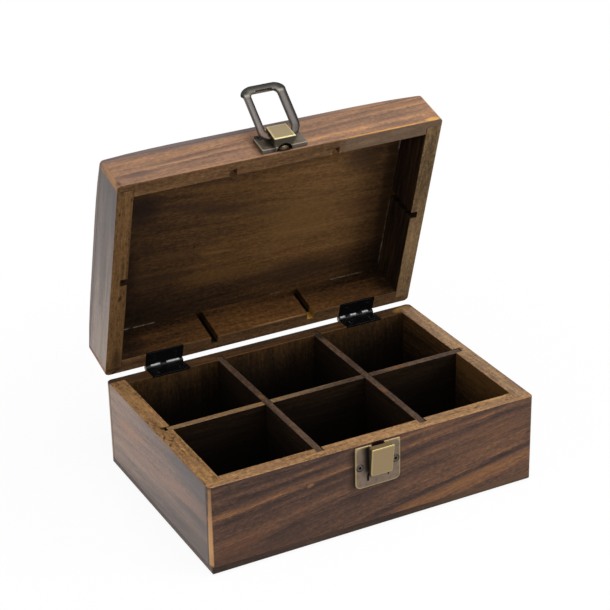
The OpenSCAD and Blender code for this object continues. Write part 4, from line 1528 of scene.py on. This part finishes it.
def block_shell(name, low, high, foot, head, corner, edge, hollow, lean=0.0, middle=LATCH_X):
    """A block that tapers from foot to head, each (half width, reach), hollowed at the wall.

    hollow is (half width, depth, how square, from, to); lean is how much the foot's front is lifted.
    """
    hollow_half, hollow_depth, square, hollow_low, hollow_high = hollow
    levels = [(low + edge * (1 - math.sin(t)), edge * (1 - math.cos(t))) for t in reversed(QUARTER_TURN)]
    between = sorted({hollow_low, hollow_high} - {low, high})
    levels += [(level + nudge, 0.0) for level in between for nudge in (-0.02, 0.02)]
    levels += [(high - edge * (1 - math.sin(t)), edge * (1 - math.cos(t))) for t in QUARTER_TURN]
    rows = []
    for level, drawn_in in levels:
        share = (level - low) / (high - low)
        half = foot[0] + (head[0] - foot[0]) * share - drawn_in
        reach = foot[1] + (head[1] - foot[1]) * share - drawn_in
        radius = max(corner - drawn_in, 0.1)
        depth = hollow_depth if hollow_low <= level <= hollow_high else 0.05
        outline = [(-half, 0.0), *arc((-half + radius, reach - radius), radius, 180, 90, 5)]
        outline += [*arc((half - radius, reach - radius), radius, 90, 0, 5), (half, 0.0)]
        for i in range(17):
            angle = math.pi * i / 16
            across, out = math.cos(angle), math.sin(angle)
            outline.append(
                (
                    hollow_half * math.copysign(abs(across) ** (2 / square), across) + LATCH_X - middle,
                    depth * max(out, 0.0) ** (2 / square) + 0.001,
                )
            )
        ring = []
        for px, py in outline:
            lift = lean * max(0.0, (py - 3.1) / (foot[1] - 3.1)) * (1 - share)
            ring.append((middle + px, -HALF_DEPTH - py, level + lift))
        rows.append(ring)
    return lofted(name, rows)


def tongue_shell():
    """The curved leaf spring under the arch, with its root under the plate."""
    rows = []
    for level, half, crown, root in (
        (LATCH_FOOT + 0.5, 3.3, 2.7, 0.5),
        (LATCH_FOOT + 0.8, 3.6, 2.9, 0.5),
        (70.0, 3.6, 1.6, 0.15),
        (73.0, 3.6, 0.95, 0.05),
    ):
        turns = [math.pi * i / 14 for i in range(15)]
        outer = [(half * math.cos(t), root + (crown - root) * math.sin(t)) for t in turns]
        inner = [(px * 0.9, 0.01) for px, py in reversed(outer)]
        rows.append([(LATCH_X - 0.4 + px, -HALF_DEPTH - py, level) for px, py in outer + inner])
    return lofted("tongue", rows)


def made_from(build):
    """A mesh in millimetres from a function that fills a bmesh."""
    work = bmesh.new()
    build(work)
    return finished(work, "cutter")


def box_cutter(middle, size):
    place = Matrix.Translation(middle) @ Matrix.Diagonal((*size, 1.0))
    return made_from(lambda work: bmesh.ops.create_cube(work, size=1.0, matrix=place))


def add_cylinder(work, middle, radius, length, segments):
    """A closed cylinder along X."""
    place = Matrix.Translation(middle) @ Matrix.Rotation(math.pi / 2, 4, "Y")
    bmesh.ops.create_cone(
        work, cap_ends=True, segments=segments, radius1=radius, radius2=radius, depth=length, matrix=place
    )


def cylinder_cutter(middle, radius, length):
    return made_from(lambda work: add_cylinder(work, middle, radius, length, 32))


def screw_cutter(side, face, height):
    """A countersunk hole through a plate."""
    bore = SCREW_SHANK + 0.1
    middle = (LATCH_X + side * SCREW_SPREAD, height)
    rows = []
    profile = ((0.5, COUNTERSINK), (0.0, COUNTERSINK), (-0.15, COUNTERSINK), (-1.6, bore), (-9.0, bore))
    for out, radius in profile:
        rows.append([(px, -face - out, pz) for px, pz in arc(middle, radius, 0, 348.75, 31)])
    return lofted("cutter", rows)


def carved(mesh, cutters):
    """The mesh less the cutters, all in millimetres."""
    holder = in_scene("carved_holder", mesh)
    tools = []
    for cutter in cutters:
        tool = in_scene("cutter_holder", cutter)
        step = holder.modifiers.new("cut", "BOOLEAN")
        step.operation, step.solver, step.object = "DIFFERENCE", "EXACT", tool
        tools.append(tool)
    made = plain_mesh(holder, mesh.name + "_carved")
    for tool in tools:
        bpy.data.objects.remove(tool)
    return made


def joined(name, meshes, place):
    """One mesh of several closed ones, in metres and in its place, with flat faces shaded flat."""
    work = bmesh.new()
    for mesh in meshes:
        work.from_mesh(mesh)
    bmesh.ops.remove_doubles(work, verts=work.verts, dist=1e-4)
    whole = finished(work, name + "_rough")
    whole.transform(Matrix.Scale(MM, 4) @ place)
    whole.shade_smooth()
    whole.set_sharp_from_angle(angle=math.radians(34))
    holder = in_scene(name + "_holder", whole)
    shade = holder.modifiers.new("shade", "WEIGHTED_NORMAL")
    shade.keep_sharp = True
    return plain_mesh(holder, name)


def bail_stations():
    """Pairs of points, outer and inner, along the left leg, round the bar and down the right leg."""
    half_width = BAIL_OPENING / 2 + BAIL_LEG
    top = BAIL_INNER + BAIL_BAR
    half_opening = BAIL_OPENING / 2
    bend = 2 * (half_opening - BAIL_FOOT_HALF)
    stations = []
    steps = 9
    for i in range(steps + 1):
        angle = math.radians(90 * i / steps)
        height = -BAIL_HEEL + BAIL_HEEL_CORNER * (1 - math.cos(angle))
        outer = half_width - BAIL_HEEL_CORNER * (1 - math.sin(angle))
        stations.append((outer, height))
    for share in (0.15, 0.3, 0.5, 0.7, 0.85, 0.93):
        height = BAIL_HEEL_CORNER + (top - BAIL_CORNER - BAIL_HEEL_CORNER) * share
        stations.append((half_width, height))
    left = []
    for outer, height in stations:
        share = min(max((height - BAIL_FOOT_HEIGHT) / bend, 0), 1)
        inner = BAIL_FOOT_HALF + (half_opening - BAIL_FOOT_HALF) * share * share * (3 - 2 * share)
        left.append(((-outer, height), (-inner, min(height, BAIL_INNER - BAIL_INNER_CORNER)), 1.0))
    corner_steps = 10
    for i in range(corner_steps + 1):
        angle = math.radians(180 - 90 * i / corner_steps)
        along, up = 1 + math.cos(angle), 1 - math.sin(angle)
        outer = (-half_width + BAIL_CORNER * along, top - BAIL_CORNER * up)
        inner = (-half_opening + BAIL_INNER_CORNER * along, BAIL_INNER - BAIL_INNER_CORNER * up)
        left.append((outer, inner, 1.0 - min(1.0, i / 3)))
    notch = BAR_RECESS / 2
    left.append(((-notch - 0.05, top), (-notch - 0.05, BAIL_INNER), 0.0))
    left.append(((-notch + 0.35, top), (-notch + 0.35, BAIL_INNER + BAR_RECESS_DEPTH), 0.0))
    left.append(((-1.0, top), (-1.0, BAIL_INNER + BAR_RECESS_DEPTH), 0.0))
    right = [((-o[0], o[1]), (-i[0], i[1]), r) for o, i, r in reversed(left)]
    return left + right


def share_of(value, low, high):
    """0 below low, 1 above high and straight between them."""
    return min(max((value - low) / (high - low), 0), 1)


def bail_mesh():
    """A ring of half-round legs and a flatter bar, lofted along its stations."""
    work = bmesh.new()
    across = 18
    half = BAIL_THICKNESS / 2
    rows = []
    for outer, inner, roundness in bail_stations():
        row = []
        front_power = 3.6 * roundness + 5.0 * (1 - roundness)
        hollow = inner[1] > BAIL_INNER + 0.5
        inner = (inner[0], min(inner[1], BAIL_INNER))
        for side in (1, -1):
            for k in range(across + 1):
                share = k / across if side > 0 else 1 - k / across
                if side < 0 and k in (0, across):
                    continue
                power = front_power if side > 0 else BACK_POWER
                height = half * (1 - abs(2 * share - 1) ** power) ** (1 / power)
                if hollow and side > 0 and share > 1 - BAR_RECESS_DEPTH / BAIL_BAR:
                    height *= -0.35
                u = outer[0] + (inner[0] - outer[0]) * share
                v = outer[1] + (inner[1] - outer[1]) * share
                row.append((u, -height * side, v))
        rows.append(row)
    add_loft(work, rows)
    for side in (-1, 1):
        middle = (side * (BAIL_FOOT_HALF - PIVOT_DEPTH / 2), 0, 0)
        add_cylinder(work, middle, PIVOT_RADIUS, PIVOT_DEPTH + 1.4, 24)
    mesh = finished(work, "bail_ring")
    for vertex in mesh.vertices:
        px, pz = vertex.co.x, vertex.co.z
        # The ring stands a little to the right in its block, and its right leg is wider
        shift = BAIL_PLAY + max(px - 9.6, 0) * RIGHT_LEG_GROWTH - share_of(px, 4, 9.6) * RIGHT_LEG_INSET
        # Its bar reaches further out than its legs, most of all at the left
        flare = share_of(pz, BAIL_INNER - 1.2, BAIL_INNER + 0.2) * share_of(abs(px), 9, 14)
        flare *= -BAR_FLARE_LEFT if px < 0 else BAR_FLARE_RIGHT
        vertex.co.x += shift * share_of(pz, 1.5, 7.5) + flare
    mesh.transform(Matrix.Scale(MM, 4) @ BAIL_PLACE)
    mesh.shade_smooth()
    mesh.set_sharp_from_angle(angle=math.radians(50))
    return mesh


def bail():
    piece("bail_ring", bail_mesh(), [bail_bronze()], "bail", ["latch_bail"])


# ---- Screws and hinges


def screw_shape():
    """One countersunk screw along -Z with its head's face at the origin and a cross recess in it."""
    head, shank, length, recess, arm, depth = SCREW_HEAD, SCREW_SHANK, 9.0, 0.4, 0.95, 0.9
    work = bmesh.new()
    cross = []
    for turn in range(4):
        a = math.radians(90 * turn)
        for cx, cy in ((recess, -recess), (arm, -recess), (arm, recess)):
            cross.append((cx * math.cos(a) - cy * math.sin(a), cx * math.sin(a) + cy * math.cos(a)))
    steps = len(cross) * 3
    turns = [2 * math.pi * (i - 4.5) / steps for i in range(steps)]
    rim = [(head * math.cos(t), head * math.sin(t)) for t in turns]
    top_rim = [work.verts.new((px * 0.93, py * 0.93, 0)) for px, py in rim]
    side_rim = [work.verts.new((px, py, -0.12)) for px, py in rim]
    neck = [work.verts.new((px * shank / head, py * shank / head, -(head - shank) - 0.1)) for px, py in rim]
    foot = [work.verts.new((px * shank / head, py * shank / head, -length + shank)) for px, py in rim]
    tip = work.verts.new((0, 0, -length))
    mouth = [work.verts.new((px, py, -0.02)) for px, py in cross]
    floor = [work.verts.new((px * 0.55, py * 0.55, -depth)) for px, py in cross]
    for ring, following in ((top_rim, side_rim), (side_rim, neck), (neck, foot)):
        for i in range(steps):
            j = (i + 1) % steps
            work.faces.new((ring[i], following[i], following[j], ring[j]))
    for i in range(steps):
        work.faces.new((foot[i], tip, foot[(i + 1) % steps]))
    for i in range(len(cross)):
        j = (i + 1) % len(cross)
        work.faces.new((mouth[i], floor[i], floor[j], mouth[j]))
    work.faces.new(floor)
    loops = [work.edges.get((top_rim[i], top_rim[(i + 1) % steps])) for i in range(steps)]
    loops += [work.edges.get((mouth[i], mouth[(i + 1) % len(cross)])) for i in range(len(cross))]
    bmesh.ops.triangle_fill(work, use_beauty=True, edges=loops)
    mesh = finished(work, "screw")
    mesh.transform(Matrix.Scale(MM, 4))
    return mesh


def screw_rows_tree():
    """Copies the screw it is given along X: pairs of places, and screws in each, turned at random."""
    tree = bpy.data.node_groups.new("screw_rows", "GeometryNodeTree")
    face = tree.interface
    face.new_socket("Geometry", in_out="INPUT", socket_type="NodeSocketGeometry")
    for name, kind in (
        ("Hinges", "NodeSocketInt"),
        ("Hinges apart", "NodeSocketFloat"),
        ("Screws apart", "NodeSocketFloat"),
        ("Seed", "NodeSocketInt"),
        ("Metal", "NodeSocketMaterial"),
    ):
        face.new_socket(name, in_out="INPUT", socket_type=kind)
    face.new_socket("Geometry", in_out="OUTPUT", socket_type="NodeSocketGeometry")

    def add(kind, settings=None, inputs=None, output=0):
        """Adds a node and returns one of its outputs."""
        made = tree.nodes.new(kind)
        for key, value in (settings or {}).items():
            setattr(made, key, value)
        for key, value in (inputs or {}).items():
            if isinstance(value, bpy.types.NodeSocket):
                tree.links.new(value, made.inputs[key])
            else:
                made.inputs[key].default_value = value
        return made.outputs[output] if made.outputs else None

    given = tree.nodes.new("NodeGroupInput").outputs

    def sum_of(operation, first, second):
        return add("ShaderNodeMath", {"operation": operation}, {0: first, 1: second})

    def line(count, apart):
        """Points along X about the origin."""
        start = sum_of("MULTIPLY", sum_of("MULTIPLY", apart, -0.5), sum_of("SUBTRACT", count, 1.0))
        first = add("ShaderNodeCombineXYZ", None, {0: start})
        step = add("ShaderNodeCombineXYZ", None, {0: apart})
        inputs = {"Count": count, "Start Location": first, "Offset": step}
        return add("GeometryNodeMeshLine", {"mode": "OFFSET"}, inputs)

    def on_points(inputs):
        made = add("GeometryNodeInstanceOnPoints", None, inputs)
        return add("GeometryNodeRealizeInstances", None, {0: made})

    pair = add("FunctionNodeInputInt", {"integer": 2})
    hinges, screws = line(given["Hinges"], given["Hinges apart"]), line(pair, given["Screws apart"])
    places = on_points({"Points": hinges, "Instance": screws})
    limits = {2: 0.0, 3: math.pi / 2, "Seed": given["Seed"]}
    turn = add("FunctionNodeRandomValue", {"data_type": "FLOAT"}, limits, 1)
    spin = add("ShaderNodeCombineXYZ", None, {2: turn})
    screws = on_points({"Points": places, "Instance": given["Geometry"], "Rotation": spin})
    screws = add("GeometryNodeSetMaterial", None, {"Geometry": screws, "Material": given["Metal"]})
    add("NodeGroupOutput", None, {0: screws})
    return tree


def screw_row(name, tree, material, hinges, hinges_apart, screws_apart, seed, place, body, node):
    holder = in_scene(name + "_holder", screw_shape())
    rows = holder.modifiers.new("rows", "NODES")
    rows.node_group = tree
    wanted = {
        "Hinges": hinges,
        "Hinges apart": hinges_apart * MM,
        "Screws apart": screws_apart * MM,
        "Seed": seed,
        "Metal": material,
    }
    for item in tree.interface.items_tree:
        if item.in_out == "INPUT" and item.name in wanted:
            rows[item.identifier] = wanted[item.name]
    mesh = plain_mesh(holder, name)
    mesh.transform(Matrix.Scale(MM, 4) @ place @ Matrix.Scale(1 / MM, 4))
    mesh.shade_smooth()
    mesh.set_sharp_from_angle(angle=math.radians(35))
    return piece(name, mesh, [material], body, [node])


def screw_hole(height):
    """The dark recess in the middle of a head."""

    def mask(finish, x, y, z, grit):
        return 1 - from_screw(x, z, height).rising(0.75, 1.15)

    return mask


def screws():
    """The plates' and the hinges' screws, each pair or set from the one Geometry Nodes tree."""
    tree = screw_rows_tree()
    hole = [(screw_hole(CATCH_SCREW_Z), paint(8, 7, 6))]
    bronze = metal("screw_bronze", STILL, paint(92, 83, 74), paint(62, 56, 50), hole)
    hole = [(screw_hole(LATCH_SCREW_Z), paint(6, 5, 4))]
    lid_bronze = metal("lid_screw_bronze", OPENED, paint(56, 50, 44), paint(34, 30, 26), hole)
    black = black_gloss("screw_black", STILL)
    facing_front = Matrix.Rotation(math.pi / 2, 4, "X")
    screw_row(
        "catch_screw_pair", tree, bronze, 1, 0, 2 * SCREW_SPREAD, 3,
        Matrix.Translation((LATCH_X, -CATCH_FACE, CATCH_SCREW_Z)) @ facing_front,
        "base", "catch_screws",
    )
    screw_row(
        "latch_screw_pair", tree, lid_bronze, 1, 0, 2 * SCREW_SPREAD, 5,
        OPENED @ Matrix.Translation((LATCH_X, -LATCH_FACE, LATCH_SCREW_Z)) @ facing_front,
        "lid", "latch_screws",
    )
    screw_row(
        "base_hinge_screw_set", tree, black, 2, 2 * HINGE_X, 2 * HINGE_SCREW_SPREAD, 7,
        Matrix.Translation((0, HINGE_SCREW_Y, BASE_RIM)), "base", "base_hinge_screws",
    )
    screw_row(
        "lid_hinge_screw_set", tree, black, 2, 2 * HINGE_X, 2 * HINGE_SCREW_SPREAD, 9,
        OPENED @ Matrix.Translation((0, HINGE_SCREW_Y, LID_RIM)) @ Matrix.Rotation(math.pi, 4, "X"),
        "lid", "lid_hinge_screws",
    )


def leaf_rounding(middle, way):
    """A leaf's far corners are rounder than its edges."""
    return LEAF_CORNER if abs(way.z) > 0.9 and middle.y < HALF_DEPTH - 5 else LEAF_EDGE


def hinges():
    """Black leaves, and the CAD's own pins in steel."""
    black = black_gloss("hinge_black", STILL)
    steel = metal("pin_steel", STILL, paint(120, 118, 116), paint(90, 88, 86))
    for side in ("left", "right"):
        for half, body in (("base", "base"), ("lid", "lid")):
            node = f"hinge_{side}_{half}_leaf"
            mesh = softened(node, leaf_rounding, OPENED if half == "lid" else STILL)
            piece(node + "_black", mesh, [black], body, [node])
        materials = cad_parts[f"hinge_{side}_pin"].data.materials
        materials.clear()
        materials.append(steel)


# ---- Studio


def camera():
    """The photograph's own viewpoint, in degrees and metres."""
    azimuth, elevation, roll = math.radians(-27.358), math.radians(25.918), math.radians(-1.225)
    distance, target = 1.224625, Vector((-0.007776, 0.0, 0.12398))
    level = math.cos(elevation)
    back = Vector((math.sin(azimuth) * level, -math.cos(azimuth) * level, math.sin(elevation)))
    right = (-back).cross(Vector((0, 0, 1))).normalized()
    up = right.cross(-back)
    right, up = right * math.cos(roll) + up * math.sin(roll), up * math.cos(roll) - right * math.sin(roll)
    data = bpy.data.cameras.new("photo_camera")
    data.sensor_width, data.lens = 36.0, 114.39
    data.clip_start, data.clip_end = 0.05, 20.0
    made = in_scene("photo_camera", data)
    spot = target + back * distance
    made.matrix_world = Matrix(
        (
            (right.x, up.x, back.x, spot.x),
            (right.y, up.y, back.y, spot.y),
            (right.z, up.z, back.z, spot.z),
            (0, 0, 0, 1),
        )
    )
    bpy.context.scene.camera = made


def seen_or_mirrored(finish):
    """1 for the rays of the camera and of mirror-like and clear surfaces."""
    path = finish.node("ShaderNodeLightPath").socket.node.outputs
    rays = [Value(finish, path[name]) for name in ("Is Camera Ray", "Is Glossy Ray", "Is Transmission Ray")]
    return (rays[0] + rays[1] + rays[2]).at_most(1)


def floor():
    finish = Finish("studio_floor")
    pale = finish.node("ShaderNodeBsdfDiffuse", inputs={"Color": (0.86, 0.86, 0.86, 1)})
    white = finish.node("ShaderNodeEmission", inputs={"Color": (1, 1, 1, 1), "Strength": 1.0})
    x, y, z = finish.point()
    away = (x * x + y * y).with_number("SQRT")
    near = (1 - away.rising(200, 400)) * 0.07
    shown = finish.node("ShaderNodeMixShader", inputs={0: near, 1: white, 2: pale})
    both = finish.node("ShaderNodeMixShader", inputs={0: seen_or_mirrored(finish), 1: pale, 2: shown})
    finish.node("ShaderNodeOutputMaterial", inputs={0: both})
    size = 6.0
    mesh = bpy.data.meshes.new("studio_floor")
    corners = ((-1, -1), (1, -1), (1, 1), (-1, 1))
    mesh.from_pydata([(size * cx, size * cy, -2e-4) for cx, cy in corners], [], [(0, 1, 2, 3)])
    mesh.materials.append(finish.material)
    made = in_scene("studio_floor", mesh)


def lamp(name, place, target, width, depth, power):
    """A softbox, in metres and watts."""
    data = bpy.data.lights.new(name, "AREA")
    data.shape, data.size, data.size_y, data.energy = "RECTANGLE", width, depth, power
    made = in_scene(name, data)
    made.location = place
    made.rotation_euler = (Vector(target) - Vector(place)).to_track_quat("-Z", "Y").to_euler()


def studio():
    """White all round to the camera, a dimmer sky for the light, and three softboxes."""
    world = bpy.data.worlds.new("studio")
    bpy.context.scene.world = world
    world.use_nodes = True
    nodes, links = world.node_tree.nodes, world.node_tree.links
    nodes.clear()
    finish = Finish.__new__(Finish)
    finish.material = world
    seen = seen_or_mirrored(finish)
    shade = finish.node("ShaderNodeBackground", inputs={"Color": (1, 1, 1, 1), "Strength": 0.38})
    white = finish.node("ShaderNodeBackground", inputs={"Color": (1, 1, 1, 1), "Strength": 1.0})
    both = finish.node("ShaderNodeMixShader", inputs={0: seen, 1: shade, 2: white})
    finish.node("ShaderNodeOutputWorld", inputs={0: both})
    lamp("overhead_softbox", (0.1, -0.35, 1.3), (0, 0, 0.08), 1.0, 0.8, 11)
    lamp("right_softbox", (1.1, -1.0, 0.7), (0, 0, 0.08), 0.6, 0.6, 11)
    lamp("left_softbox", (-1.3, -0.3, 0.6), (0, 0, 0.08), 0.9, 0.9, 5.5)


def main():
    random.seed(5)
    bpy.context.scene.view_settings.view_transform = "Standard"
    camera()
    floor()
    studio()
    base_boards()
    lid_boards()
    catch()
    latch()
    bail()
    screws()
    hinges()


main()
